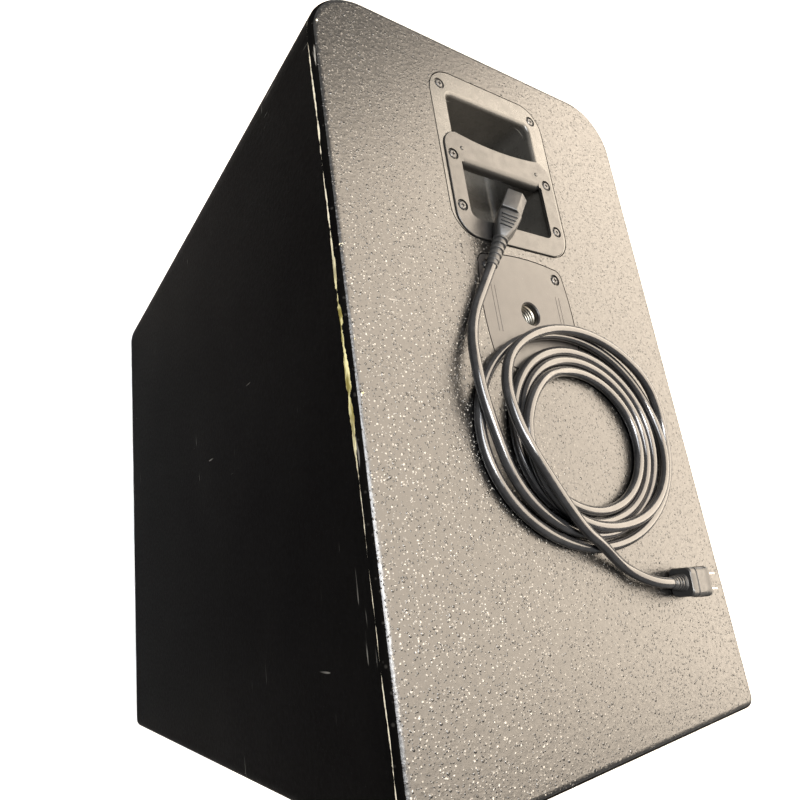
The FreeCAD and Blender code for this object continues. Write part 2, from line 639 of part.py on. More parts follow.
def make_inlet():
    """A three-pin mains inlet with its flange on the panel's face."""
    x, z = INLET
    flange = upright(x, z, 50.0, 27.0, 4.0, PANEL_FACE, PANEL_FACE + 2.5)
    body = upright(x, z, 30.4, 22.4, 2.7, PANEL_FACE - 20.0, PANEL_FACE)
    hollow = upright(x, z, 24.6, 16.6, 2.0, PANEL_FACE - 16.0, PANEL_FACE + 3.0)
    inlet = flange.fuse(body).cut(hollow)
    for dx, dz in ((-7.0, 0.0), (0.0, 3.0), (7.0, 0.0)):
        pin = upright(x + dx, z + dz, 2.0, 4.0, 0.6, PANEL_FACE - 16.0, PANEL_FACE - 1.0)
        inlet = inlet.fuse(pin)
    save("mains_inlet", inlet.removeSplitter())


def make_switch():
    """A rocker that turns about a level pin in its round-backed frame; it rests switched off."""
    x, z = SWITCH
    pivot_y = PANEL_FACE - 2.0
    flange = upright(x, z, 29.0, 33.0, 2.0, PANEL_FACE, PANEL_FACE + 1.8)
    body = upright(x, z, 24.0, 28.0, 1.2, PANEL_FACE - 17.0, PANEL_FACE)
    bore = rod((x - 8.4, pivot_y, z), X_AXIS, 11.6, 16.8)
    mouth = upright(x, z, 16.8, 23.2, 0.8, pivot_y, PANEL_FACE + 3.0)
    save("power_switch_frame", flange.fuse(body).cut(bore).cut(mouth).removeSplitter())

    drum = rod((x - 8.0, pivot_y, z), X_AXIS, 11.2, 16.0)
    tilt = 9.0
    for sign in (-1, 1):
        cutter = block(x - 9, x + 9, pivot_y + 3.6, pivot_y + 30.0, z - 30.0, z + 30.0)
        cutter.rotate(V(x, pivot_y + 3.6, z), X_AXIS, sign * tilt)
        z_middle = z + sign * 15.0
        half = block(x - 9, x + 9, pivot_y, pivot_y + 30.0, z_middle - 15.0, z_middle + 15.0)
        drum = drum.cut(cutter.common(half))
    drum.rotate(V(x, pivot_y, z), X_AXIS, tilt)
    save("power_rocker", drum)


def socket(x, z, pins):
    """A round three-contact audio socket behind a square flange; a plug's socket has pins standing in it."""
    flange = upright(x, z, 26.0, 31.0, 3.0, PANEL_FACE, PANEL_FACE + 2.0)
    body = rod((x, PANEL_FACE - 22.0, z), Y_AXIS, 12.0, 22.0)
    shell = flange.fuse(body).cut(rod((x, PANEL_FACE - 15.0, z), Y_AXIS, 9.6, 18.0))
    for angle in (-90, 30, 150):
        px = x + 4.5 * math.cos(math.radians(angle))
        pz = z + 4.5 * math.sin(math.radians(angle))
        if pins:
            shell = shell.fuse(rod((px, PANEL_FACE - 15.0, pz), Y_AXIS, 1.0, 12.0))
        else:
            shell = shell.cut(rod((px, PANEL_FACE - 20.0, pz), Y_AXIS, 1.3, 8.0))
    return shell.removeSplitter()


def make_sockets():
    for number, (x, z) in enumerate(INPUT_SOCKETS, 1):
        latch_z = z + LATCH_RISE
        latch_slot = upright(x, latch_z, 6.0, 4.0, 0.5, PANEL_FACE - 1.6, PANEL_FACE + 3.0)
        latch_tab = upright(x, latch_z, 5.2, 3.2, 0.4, PANEL_FACE + 1.4, PANEL_FACE + 4.4)
        save("input_socket_%d" % number, socket(x, z, False).cut(latch_slot))
        save("latch_tab_%d" % number, latch_tab)
    save("output_sockets", *[socket(x, z, True) for x, z in OUTPUT_SOCKETS])


def make_knobs():
    """Two level knobs, each with a raised pointer and a shaft through the panel."""
    for number, (x, z) in enumerate(KNOBS, 1):
        skirt = Part.makeCone(11.0, 10.2, 4.0, V(x, PANEL_FACE + 0.6, z), Y_AXIS)
        cap = Part.makeCone(8.4, 7.6, 10.0, V(x, PANEL_FACE + 4.6, z), Y_AXIS)
        pointer = block(x - 0.8, x + 0.8, PANEL_FACE + 4.6, PANEL_FACE + 15.2, z + 1.0, z + 8.9)
        shaft = rod((x, PANEL_BACK - 6.0, z), Y_AXIS, 3.0, PANEL_THICKNESS + 6.6)
        knob = skirt.fuse(cap).fuse(pointer).fuse(shaft)
        save("level_knob_%d" % number, knob.removeSplitter())


def make_buttons():
    for number, (x, z) in enumerate(BUTTONS, 1):
        key = upright(x, z, 6.2, 6.2, 0.8, PANEL_BACK - 3.0, PANEL_FACE + 3.2)
        save("mode_button_%d" % number, key)


def make_lights():
    length = PANEL_THICKNESS + 1.8
    save("status_lights", *[rod((x, PANEL_BACK - 1.0, z), Y_AXIS, 2.3, length) for x, z in LIGHTS])


def make_panel_screws():
    screws = []
    for x, z in PANEL_SCREWS:
        head = rod((x, PANEL_FACE, z), Y_AXIS, 3.6, 2.2)
        screw = head.fuse(rod((x, PANEL_FACE - 12.0, z), Y_AXIS, 1.8, 12.0))
        for slot in cross_slot(x, PANEL_FACE + 2.2, z, "back", 2.0):
            screw = screw.cut(slot)
        screws.append(screw)
    save("amp_panel_screws", *screws)


# ---------------------------------------------------------------- the mains lead
CONNECTOR_TIP = V(8.0, -139.5, TOP + 13.6)      # middle of the connector's front face
# The way the connector points: its head is raised on the handle's rail.
CONNECTOR_AIM = V(-39.0, -67.0, 5.0).normalize()
RELIEF_LENGTH = 30.0
CONNECTOR_LENGTH = 47.0
PLUG_BACK = V(-90.0, 203.5, TOP + 12.6)         # where the cord enters the plug
PLUG_AIM = V(-1.0, 0.09, 0).normalize()

RELIEF_END = CONNECTOR_TIP - CONNECTOR_AIM * (CONNECTOR_LENGTH + RELIEF_LENGTH)
LEAD_ROUTE = [
    RELIEF_END,
    RELIEF_END - CONNECTOR_AIM * 26.0,
    V(73.5, -26.5, TOP + 5.2),
    V(83.5, -2.0, TOP + 8.2),
    V(88.8, 22.5, TOP + 13.4),
    V(88.5, 44.0, TOP + 14.0),
]
TAIL_ROUTE = [
    V(-8.0, 164.0, TOP + 14.0),
    V(-26.5, 176.0, TOP + 8.6),
    V(-45.0, 187.0, TOP + 5.6),
    V(-60.5, 196.5, TOP + 9.4),
    PLUG_BACK - PLUG_AIM * 14.0,
    PLUG_BACK,
]


def along(start, aim, side, width, height, length, corner):
    """A round-cornered bar from start, along aim, as wide as given across side."""
    up = aim.cross(side)
    wire = rounded_rect(start, side, up, width, height, [corner] * 4)
    return Part.Face(wire).extrude(aim * length)


def make_connector():
    """The appliance connector, with two bevelled upper corners and three contact slots."""
    aim = CONNECTOR_AIM
    side = V(-aim.y, aim.x, 0).normalize()
    up = aim.cross(side)
    back = CONNECTOR_TIP - aim * CONNECTOR_LENGTH
    head_start = CONNECTOR_TIP - aim * 21.0
    head = along(head_start, aim, side, 27.0, 20.0, 21.0, 2.0)
    for sign in (-1, 1):
        corner = head_start + side * (sign * 13.5) + up * 10.0
        wedge = Part.makePolygon([corner, corner - side * (sign * 5.0), corner - up * 5.0, corner])
        head = head.cut(Part.Face(wedge).extrude(aim * 21.0))
    for offset, drop in ((-7.0, -1.0), (0.0, 2.5), (7.0, -1.0)):
        slot = along(CONNECTOR_TIP - aim * 15.0 + side * offset + up * drop, aim, side, 2.6, 5.0, 16.0, 0.6)
        head = head.cut(slot)
    neck = along(back, aim, side, 20.0, 15.0, CONNECTOR_LENGTH - 21.0, 5.0)
    save("c13_connector", head.fuse(neck).removeSplitter())


def make_strain_relief():
    """Four rings on a tapered sleeve, from the connector down to the cord."""
    aim = CONNECTOR_AIM
    profile = [(0.0, 0.0), (CORD_RADIUS + 0.5, 0.0)]
    length = RELIEF_LENGTH
    for i in range(4):
        near = 2.0 + i * 7.0
        radius = CORD_RADIUS + 0.9 + i * 0.55
        profile += [(CORD_RADIUS + 0.6 + 0.3 * i, near), (radius + 0.6, near)]
        profile += [(radius + 0.6, near + 4.2), (CORD_RADIUS + 0.8 + 0.3 * i, near + 4.2)]
    profile += [(6.6, length), (0.0, length)]
    relief = turned([(r, d) for r, d in profile], (0, 0, 0), Z_AXIS)
    relief.Placement = FreeCAD.Placement(RELIEF_END, FreeCAD.Rotation(Z_AXIS, aim))
    save("c13_strain_relief", relief)


def make_coil():
    """The outside of the five loose turns, as one flat elliptical ring."""
    z0 = TOP + 0.3
    rings = []
    outline = (COIL_OUTER, (0, 0), CORD_RADIUS)
    opening = (COIL_INNER, COIL_INNER_SHIFT, -CORD_RADIUS)
    for (a, b), (sx, sy), grow in (outline, opening):
        middle = V(COIL_CENTRE[0] + sx, COIL_CENTRE[1] + sy, z0)
        ellipse = Part.Ellipse(middle, a + grow, b + grow)
        rings.append(Part.Face(Part.Wire([ellipse.toShape()])).extrude(V(0, 0, COIL_HEIGHT - 0.3)))
    save("cord_coil", rings[0].cut(rings[1]))


def make_plug():
    """The wall plug: a moulded body that tapers to the cord, with two blades and an earth pin."""
    aim = PLUG_AIM
    side = V(-aim.y, aim.x, 0).normalize()
    relief = Part.makeCone(CORD_RADIUS + 0.7, 8.0, 14.0, PLUG_BACK, aim)
    body_start = PLUG_BACK + aim * 14.0
    body = along(body_start, aim, side, 26.0, 24.0, 27.0, 9.0)
    save("mains_plug", relief.fuse(body).removeSplitter())
    face = body_start + aim * 27.0
    blades = [along(face + side * s + Z_AXIS * 3.0, aim, side, 1.5, 6.3, 16.0, 0.3) for s in (-6.35, 6.35)]
    earth = Part.makeCylinder(2.4, 20.0, face - Z_AXIS * 6.0, aim)
    save("plug_blades", *(blades + [earth]))


def main():
    os.makedirs("parts", exist_ok=True)
    make_top_panel()
    make_bottom_panel()
    make_side_panels()
    make_corner_posts()
    make_rear_panel()
    make_front_baffle()
    make_shelf_brace()
    make_damping_wool()
    make_feet()
    make_handle_cup()
    make_handle_bar()
    make_handle_screws()
    make_pole_plate()
    make_pole_insert()
    make_pole_screws()
    make_front_grille()
    make_grille_foam()
    make_standoffs()
    make_grille_screws()
    make_woofer_basket()
    make_woofer_motor()
    make_woofer_cone()
    make_woofer_surround()
    make_woofer_spider()
    make_woofer_screws()
    make_port_tubes()
    make_amp_tray()
    make_amp_panel()
    make_heat_sink()
    make_amp_inside()
    make_inlet()
    make_switch()
    make_sockets()
    make_knobs()
    make_buttons()
    make_lights()
    make_panel_screws()
    make_connector()
    make_strain_relief()
    make_coil()
    make_plug()
    save("cord_lead", cord_tube("lead", LEAD_ROUTE))
    save("cord_tail", cord_tube("tail", TAIL_ROUTE))


main()
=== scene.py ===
import math

import bmesh
import bpy
from mathutils import Matrix, Vector


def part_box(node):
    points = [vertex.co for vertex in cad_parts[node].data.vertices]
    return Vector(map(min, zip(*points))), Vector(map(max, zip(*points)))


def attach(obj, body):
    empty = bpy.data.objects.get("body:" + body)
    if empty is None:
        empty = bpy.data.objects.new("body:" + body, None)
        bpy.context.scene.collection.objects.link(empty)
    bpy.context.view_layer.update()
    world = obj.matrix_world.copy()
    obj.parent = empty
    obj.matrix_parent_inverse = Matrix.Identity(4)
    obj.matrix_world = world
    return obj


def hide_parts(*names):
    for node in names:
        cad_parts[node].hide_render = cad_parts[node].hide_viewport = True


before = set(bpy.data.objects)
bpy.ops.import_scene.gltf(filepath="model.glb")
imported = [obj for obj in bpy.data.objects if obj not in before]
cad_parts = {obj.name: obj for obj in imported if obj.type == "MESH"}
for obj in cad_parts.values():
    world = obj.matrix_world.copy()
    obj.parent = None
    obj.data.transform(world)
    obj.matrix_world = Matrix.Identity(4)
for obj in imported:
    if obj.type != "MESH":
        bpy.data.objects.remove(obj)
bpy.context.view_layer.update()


def box_middle(node):
    """The middle of a CAD node's bounding box."""
    low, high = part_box(node)
    return [(a + b) / 2 for a, b in zip(low, high)]


# ------------------------ places, all in metres
HALF_W, HALF_D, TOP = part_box("top_panel")[1]
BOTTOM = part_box("bottom_panel")[0][2]
POLE_X, POLE_Y, _ = box_middle("pole_plate")
EDGE_ROUND = 0.007             # the radius of the round-over along the edges of the top
CABINET = "cabinet"            # the body that every still piece rides
KNOBS = ("level_knob_1", "level_knob_2")


# ------------------------ camera, as solved from the photo
CAMERA_PLACE = (0.401, 0.1685, TOP + 0.340)
CAMERA_AHEAD = (-0.563, -0.2733, -0.7799)
CAMERA_RIGHT = (-0.8238, 0.1329, 0.5511)
LENS = 27.8
SENSOR_WIDTH = 36.0


def make_camera():
    """A short phone lens close above the rear right edge, rolled so that the front of the top points up."""
    data = bpy.data.cameras.new("camera")
    data.lens = LENS
    data.sensor_width = SENSOR_WIDTH
    data.clip_start = 0.01
    camera = link(bpy.data.objects.new("camera", data))
    ahead = Vector(CAMERA_AHEAD).normalized()
    right = Vector(CAMERA_RIGHT).normalized()
    upward = right.cross(ahead).normalized()
    turn = Matrix((right, upward, -ahead)).transposed().to_4x4()
    camera.matrix_world = Matrix.Translation(CAMERA_PLACE) @ turn
    bpy.context.scene.camera = camera


# ------------------------ mesh helpers
def link(obj):
    """Put an object in the scene."""
    bpy.context.scene.collection.objects.link(obj)
    return obj


def mesh_object(name, verts, faces, smooth=True):
    """A mesh object with doubled points merged and every face turned outwards."""
    mesh = bpy.data.meshes.new(name)
    mesh.from_pydata([tuple(v) for v in verts], [], faces)
    mesh.validate()
    work = bmesh.new()
    work.from_mesh(mesh)
    bmesh.ops.remove_doubles(work, verts=work.verts, dist=1e-7)
    bmesh.ops.recalc_face_normals(work, faces=work.faces)
    work.to_mesh(mesh)
    work.free()
    for polygon in mesh.polygons:
        polygon.use_smooth = smooth
    return link(bpy.data.objects.new(name, mesh))


def apply_modifiers(obj):
    """Bake an object's modifiers into its mesh."""
    graph = bpy.context.evaluated_depsgraph_get()
    result = bpy.data.meshes.new_from_object(obj.evaluated_get(graph))
    obj.modifiers.clear()
    obj.data = result
    return obj


def bevelled(obj, width, segments=2):
    """Round every edge sharper than 35 degrees."""
    bevel = obj.modifiers.new("bevel", "BEVEL")
    bevel.width = width
    bevel.segments = segments
    bevel.limit_method = "ANGLE"
    bevel.angle_limit = math.radians(35)
    return apply_modifiers(obj)


def joined(name, pieces):
    """Join several mesh objects into one."""
    work = bmesh.new()
    for piece in pieces:
        work.from_mesh(piece.data)
        bpy.data.objects.remove(piece)
    mesh = bpy.data.meshes.new(name)
    work.to_mesh(mesh)
    work.free()
    for polygon in mesh.polygons:
        polygon.use_smooth = True
    return link(bpy.data.objects.new(name, mesh))


def shade_by_angle(obj, angle=35):
    """Smooth shading, with edges sharper than the angle kept crisp."""
    mesh = obj.data
    work = bmesh.new()
    work.from_mesh(mesh)
    for edge in work.edges:
        if len(edge.link_faces) == 2:
            edge.smooth = edge.calc_face_angle(0) < math.radians(angle)
    for face in work.faces:
        face.smooth = True
    work.to_mesh(mesh)
    work.free()
    return obj


def lofted(name, sections, place):
    """Skin a row of closed outlines and cap both ends; a matrix carries their local points into place."""
    count = len(sections[0])
    verts = [place @ Vector(point) for section in sections for point in section]
    faces = []
    for row in range(len(sections) - 1):
        for i in range(count):
            j = (i + 1) % count
            faces.append((row * count + i, row * count + j, (row + 1) * count + j, (row + 1) * count + i))
    last = (len(sections) - 1) * count
    faces.append(tuple(range(count - 1, -1, -1)))
    faces.append(tuple(range(last, last + count)))
    return mesh_object(name, verts, faces)


def oval(x, half_y, half_z, power, count):
    """A super-ellipse outline standing across the local X axis: power 2 is an ellipse, more is boxier."""
    points = []
    for i in range(count):
        angle = 2 * math.pi * i / count
        c = math.cos(angle)
        s = math.sin(angle)
        y = half_y * math.copysign(abs(c) ** (2 / power), c)
        z = half_z * math.copysign(abs(s) ** (2 / power), s)
        points.append((x, y, z))
    return points


def box_piece(name, low, high, bevel):
    """A box between two corners, with its edges bevelled."""
    verts = [(x, y, z) for x in (low[0], high[0]) for y in (low[1], high[1]) for z in (low[2], high[2])]
    faces = [(0, 1, 3, 2), (4, 6, 7, 5), (0, 4, 5, 1), (2, 3, 7, 6), (0, 2, 6, 4), (1, 5, 7, 3)]
    return bevelled(mesh_object(name, verts, faces, smooth=False), bevel, 3)


def cut_out(obj, cutters):
    """Take each cutter out of the object, and remove the cutters."""
    for cutter in cutters:
        tool = obj.modifiers.new("cut", "BOOLEAN")
        tool.operation = "DIFFERENCE"
        tool.solver = "EXACT"
        tool.object = cutter
        apply_modifiers(obj)
        bpy.data.objects.remove(cutter)
    return obj


def above_top(point):
    """A point measured from the middle of the top's face, carried into the frame."""
    return Vector(point) + Vector((0, 0, TOP))


def aimed(origin, aim):
    """A matrix that carries local X onto aim, with local Z as near to up as it can be."""
    x = Vector(aim).normalized()
    y = Vector((-x.y, x.x, 0.0)).normalized()
    z = x.cross(y)
    return Matrix.Translation(Vector(origin)) @ Matrix((x, y, z)).transposed().to_4x4()


# ------------------------ material helpers
class Nodes:
    """Adds and links the nodes of one material."""

    def __init__(self, name):
        self.material = bpy.data.materials.new(name)
        self.material.use_nodes = True
        self.tree = self.material.node_tree
        self.shader = self.tree.nodes["Principled BSDF"]
        self.coords = self.add("ShaderNodeTexCoord").outputs["Object"]
        self.facing = self.add("ShaderNodeNewGeometry").outputs["True Normal"]

    def add(self, kind, inputs=None, **settings):
        node = self.tree.nodes.new(kind)
        for key, value in settings.items():
            setattr(node, key, value)
        for key, value in (inputs or {}).items():
            self.feed(node.inputs[key], value)
        return node

    def feed(self, socket, value):
        """Link another node's output to a socket, or set the socket to a plain value."""
        if isinstance(value, bpy.types.NodeSocket):
            self.tree.links.new(value, socket)
        else:
            socket.default_value = value

    def math(self, operation, *values, clamp=False):
        node = self.add("ShaderNodeMath", operation=operation, use_clamp=clamp)
        for socket, value in zip(node.inputs, values):
            self.feed(socket, value)
        return node.outputs[0]

    def plus(self, one, two):
        return self.math("ADD", one, two)

    def minus(self, one, two):
        return self.math("SUBTRACT", one, two)

    def times(self, one, two):
        return self.math("MULTIPLY", one, two)

    def least(self, one, two):
        return self.math("MINIMUM", one, two)

    def most(self, one, two):
        return self.math("MAXIMUM", one, two)

    def above(self, value, limit):
        return self.math("GREATER_THAN", value, limit)

    def below(self, value, limit):
        return self.math("LESS_THAN", value, limit)

    def split(self, vector):
        """The x, y and z of a vector."""
        return self.add("ShaderNodeSeparateXYZ", {"Vector": vector}).outputs

    def noise(self, scale, detail=2.0, roughness=0.5, coords=None, distortion=0.0):
        inputs = {"Vector": coords or self.coords, "Scale": scale, "Detail": detail, "Roughness": roughness,
                  "Distortion": distortion}
        return self.add("ShaderNodeTexNoise", inputs).outputs[0]

    def cells(self, scale, feature="F1", randomness=1.0):
        inputs = {"Vector": self.coords, "Scale": scale, "Randomness": randomness}
        return self.add("ShaderNodeTexVoronoi", inputs, feature=feature).outputs[0]

    def waves(self, scale, distortion, direction):
        inputs = {"Vector": self.coords, "Scale": scale, "Distortion": distortion}
        return self.add("ShaderNodeTexWave", inputs, bands_direction=direction).outputs[1]

    def drops(self, scale, full, gone, rarity, shift=0.0):
        """Round blobs, one in some of the cells of a grid: 1 inside the full radius, 0 past gone."""
        moved = {"Vector": self.coords, "Location": (shift, shift, shift)}
        place = self.add("ShaderNodeMapping", moved).outputs[0]
        node = self.add("ShaderNodeTexVoronoi", {"Vector": place, "Scale": scale}, feature="F1")
        pick = self.add("ShaderNodeSeparateColor", {"Color": node.outputs["Color"]}).outputs[0]
        shrink = self.spread(pick, rarity, 1.0, 1.5, 0.8)
        away = self.times(node.outputs["Distance"], shrink)
        return self.times(self.spread(away, full, gone, 1.0, 0.0), self.above(pick, rarity))

    def spread(self, value, low, high, to_low=0.0, to_high=1.0):
        """Carry the range low to high onto another range, eased, and held at its two ends."""
        inputs = {"Value": value, "From Min": low, "From Max": high, "To Min": to_low, "To Max": to_high}
        return self.add("ShaderNodeMapRange", inputs, interpolation_type="SMOOTHSTEP").outputs[0]

    def stretched(self, scale):
        return self.add("ShaderNodeMapping", {"Vector": self.coords, "Scale": scale}).outputs[0]

    def mix(self, factor, one, two):
        """Colour one where the factor is 0, colour two where it is 1."""
        node = self.add("ShaderNodeMix", data_type="RGBA")
        self.feed(node.inputs[0], factor)
        self.feed(node.inputs[6], one)
        self.feed(node.inputs[7], two)
        return node.outputs[2]

    def bump(self, height, distance, strength=1.0):
        inputs = {"Height": height, "Distance": distance, "Strength": strength}
        return self.add("ShaderNodeBump", inputs).outputs[0]

    def finish(self, color, roughness, normal, metallic=0.0, **extra):
        """Feed the shader; extra sockets are named with _ for each space."""
        self.feed(self.shader.inputs["Base Color"], color)
        self.feed(self.shader.inputs["Roughness"], roughness)
        self.feed(self.shader.inputs["Metallic"], metallic)
        self.feed(self.shader.inputs["Normal"], normal)
        for key, value in extra.items():
            self.shader.inputs[key.replace("_", " ")].default_value = value
        return self.material


def rgb(red, green, blue):
    return (red, green, blue, 1.0)


# ------------------------ the cord
# Points here are measured from the middle of the top's face.
CORD_WIDTH = 0.009
LOW = 0.0048                  # how high the middle of a strand is where it lies on the top
HIGH = 0.0136                 # the same, where it lies on another strand
RELIEF_END = (0.0469, -0.0727, 0.0086)
PLUG_BACK = (-0.0900, 0.2035, 0.0126)
LEAD_ROUTE = [RELIEF_END, (0.0599, -0.0504, 0.0069), (0.0735, -0.0265, 0.0052), (0.0835, -0.0020, 0.0082),
              (0.0888, 0.0225, 0.0134), (0.0885, 0.0440, 0.0140)]
TAIL_ROUTE = [(0.0645, 0.0310, 0.0170), (0.0670, 0.0570, 0.0205), (0.0605, 0.0840, 0.0228),
              (0.0460, 0.1090, 0.0230), (0.0290, 0.1340, 0.0220), (0.0110, 0.1530, 0.0186),
              (-0.0080, 0.1640, 0.0155), (-0.0265, 0.1760, 0.0100), (-0.0450, 0.1870, 0.0056),
              (-0.0605, 0.1965, 0.0094), (-0.0761, 0.2022, 0.0126), PLUG_BACK]
INNER_LOOP = ((-0.030, 0.0785), (0.074, 0.0645))     # middle and half-axes of the innermost turn
OUTER_LOOP = ((-0.027, 0.0723), (0.120, 0.0958))     # the same for the outermost turn
# How the loose turns fan out: at each angle, how far from the inner loop (0) to the outer (1), and how high.
COIL_LAY = [
    (0, 0.76, 0.0126), (45, 0.70, 0.0090), (90, 0.66, LOW), (140, 0.50, LOW), (180, 0.46, LOW),
    (270, 0.52, LOW), (360, 0.19, LOW), (450, 0.28, LOW), (540, 0.22, LOW), (630, 0.28, LOW),
    (720, -0.01, LOW), (810, -0.12, LOW), (900, -0.01, LOW), (990, -0.01, LOW), (1012, -0.01, 0.008),
    (1035, 0.02, HIGH), (1080, 0.10, HIGH), (1170, 0.46, HIGH), (1215, 0.66, HIGH), (1245, 0.80, 0.009),
    (1262, 0.80, LOW), (1350, 0.93, LOW), (1440, 0.95, LOW), (1485, 1.00, LOW), (1530, 1.07, LOW),
    (1575, 1.04, LOW), (1620, 1.02, LOW), (1650, 1.00, HIGH), (1710, 1.00, HIGH), (1750, 0.88, 0.0138)]
COIL_END = COIL_LAY[-1][0]
COIL_STEP = 25                # degrees between two points of the curve


def coil_point(angle):
    """A point of the coil, eased between the two places of COIL_LAY on each side of the angle."""
    for before, after in zip(COIL_LAY, COIL_LAY[1:]):
        if angle <= after[0]:
            break
    part = (angle - before[0]) / (after[0] - before[0])
    part = part * part * (3 - 2 * part)
    out = before[1] + (after[1] - before[1]) * part
    height = before[2] + (after[2] - before[2]) * part
    c = math.cos(math.radians(angle))
    s = math.sin(math.radians(angle))
    inner, outer = [(mid[0] + half[0] * c, mid[1] + half[1] * s) for mid, half in (INNER_LOOP, OUTER_LOOP)]
    return (inner[0] + (outer[0] - inner[0]) * out, inner[1] + (outer[1] - inner[1]) * out, height)


def make_cord():
    """One free mains cord, from the connector's strain relief, round about five loose turns, to the plug."""
    turns = [coil_point(angle) for angle in range(0, COIL_END + 1, COIL_STEP)]
    points = LEAD_ROUTE + turns + TAIL_ROUTE
    curve = bpy.data.curves.new("mains_cord", "CURVE")
    curve.dimensions = "3D"
    spline = curve.splines.new("NURBS")
    spline.points.add(len(points) - 1)
    for point, (x, y, height) in zip(spline.points, points):
        point.co = (x, y, TOP + height, 1.0)
    spline.order_u = 3
    spline.use_endpoint_u = True
    spline.resolution_u = 6
    curve.bevel_depth = CORD_WIDTH / 2
    curve.bevel_resolution = 5
    curve.use_fill_caps = True
    cord = link(bpy.data.objects.new("mains_cord", curve))
    cord.data.materials.append(jacket_material())
    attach(cord, CABINET)
    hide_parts("cord_lead", "cord_coil", "cord_tail")
    return cord


def jacket_material():
    """Glossy black vinyl, a little scuffed."""
    n = Nodes("cord_jacket_look")
    scuffs = n.noise(60.0, 4.0, 0.6)
    fine = n.noise(1400.0, 2.0)
    color = n.mix(n.spread(scuffs, 0.4, 0.75), rgb(0.0100, 0.0102, 0.0110), rgb(0.022, 0.022, 0.023))
    rough = n.spread(n.noise(170.0, 3.0), 0.3, 0.75, 0.15, 0.26)
    return n.finish(color, rough, n.bump(fine, 0.00002, 0.6), Specular_IOR_Level=0.75)


def moulded_material():
    """The slightly matte rubber of the connector and the plug."""
    n = Nodes("moulded_cord_end_look")
    color = n.mix(n.noise(90.0, 3.0), rgb(0.013, 0.013, 0.014), rgb(0.028, 0.028, 0.027))
    rough = n.spread(n.noise(220.0, 3.0), 0.3, 0.7, 0.30, 0.44)
    height = n.plus(n.times(n.cells(2600.0), 0.6), n.noise(700.0, 2.0))
    return n.finish(color, rough, n.bump(height, 0.00007, 0.7))


# ------------------------ the cord's connector
# Local X runs out of the tip, so the head and the grip lie at negative x.
CONNECTOR_AIM = (-37.0, -68.0, 7.0)
CONNECTOR_ROLL = -25.0        # degrees: the connector lies on its narrow side, leaning over
CONNECTOR_REACH = 0.077       # from the end of the cord to the connector's tip
HEAD_HALF_Y = 0.0100
HEAD_HALF_Z = 0.0135
HEAD_CUT = 0.0060             # the two cut corners of the head
HEAD_NICK = 0.0006            # its two other corners, nearly square
CONTACT_SLOTS = ((-0.007, -0.001), (0.0, 0.0025), (0.007, -0.001))     # along local Z, and down local Y
SLOT_HALF_Y = 0.0026
SLOT_HALF_Z = 0.0013
# Boxy sections of the grip, from inside the head to the strain relief: place along it, half sizes, boxiness.
GRIP_SECTIONS = (
    (-0.0190, 0.0096, 0.0108, 6.0), (-0.0225, 0.0110, 0.0106, 6.0), (-0.0330, 0.0098, 0.0098, 6.0),
    (-0.0400, 0.0078, 0.0086, 4.5), (-0.0450, 0.0062, 0.0074, 3.0), (-0.0475, 0.0057, 0.0064, 2.4))
RIDGES = 4
RIDGE_START = -0.0255
RIDGE_STEP = 0.0036
RIDGE_WIDTH = 0.0016
RIDGE_DEPTH = 0.003


def connector_head(place):
    """The moulded head, with two corners cut off and three contact slots in its face."""
    y = HEAD_HALF_Y
    z = HEAD_HALF_Z
    outline = [(y - HEAD_NICK, -z), (y, HEAD_NICK - z), (y, z - HEAD_NICK), (y - HEAD_NICK, z),
               (HEAD_CUT - y, z), (-y, z - HEAD_CUT), (-y, HEAD_CUT - z), (HEAD_CUT - y, -z)]
    ends = ((0.0, 0.985), (-0.001, 1.0), (-0.020, 1.0), (-0.021, 0.97))      # place along it, and scale
    sections = [[(x, side * scale, up * scale) for side, up in outline] for x, scale in ends]
    head = bevelled(lofted("c13_head", sections, place), 0.0008, 3)
    slots = []
    for across, down in CONTACT_SLOTS:
        corners = [(-SLOT_HALF_Y - down, across - SLOT_HALF_Z), (SLOT_HALF_Y - down, across - SLOT_HALF_Z),
                   (SLOT_HALF_Y - down, across + SLOT_HALF_Z), (-SLOT_HALF_Y - down, across + SLOT_HALF_Z)]
        sections = [[(x, side, up) for side, up in corners] for x in (-0.015, 0.002)]
        slots.append(lofted("slot", sections, place))
    return shade_by_angle(cut_out(head, slots))


def connector_grip(place):
    """The tapered grip between the head and the strain relief."""
    sections = [oval(x, half_y, half_z, power, 40) for x, half_y, half_z, power in GRIP_SECTIONS]
    return shade_by_angle(bevelled(lofted("c13_grip", sections, place), 0.0006), 28)


def connector_ridge(place, number):
    """One of the finger ridges across the grip; each is a little narrower and lower than the one before."""
    x = RIDGE_START - RIDGE_STEP * number
    half = 0.0074 - 0.0006 * number
    crest = 0.0115 - 0.0004 * number
    outline = [(-half, crest - RIDGE_DEPTH), (half, crest - RIDGE_DEPTH), (half, crest), (-half, crest)]
    sections = [[(x + step, y, z) for y, z in outline] for step in (0.0, -RIDGE_WIDTH)]
    return bevelled(lofted("ridge", sections, place), 0.0005)


def make_connector(material):
    """The appliance connector on its side, and the ribbed strain relief behind it."""
    aim = Vector(CONNECTOR_AIM).normalized()
    tip = above_top(RELIEF_END) + aim * CONNECTOR_REACH
    place = aimed(tip, aim) @ Matrix.Rotation(math.radians(CONNECTOR_ROLL), 4, "X")
    ridges = [connector_ridge(place, number) for number in range(RIDGES)]
    connector = joined("c13_connector_body", [connector_head(place), connector_grip(place)] + ridges)
    connector.data.materials.append(material)
    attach(connector, CABINET)
    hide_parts("c13_connector")
    relief = ribbed_relief("c13_relief", aimed(above_top(RELIEF_END), aim), 0.030, 0.0052, 0.0070, material)
    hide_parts("c13_strain_relief")
    return connector, relief


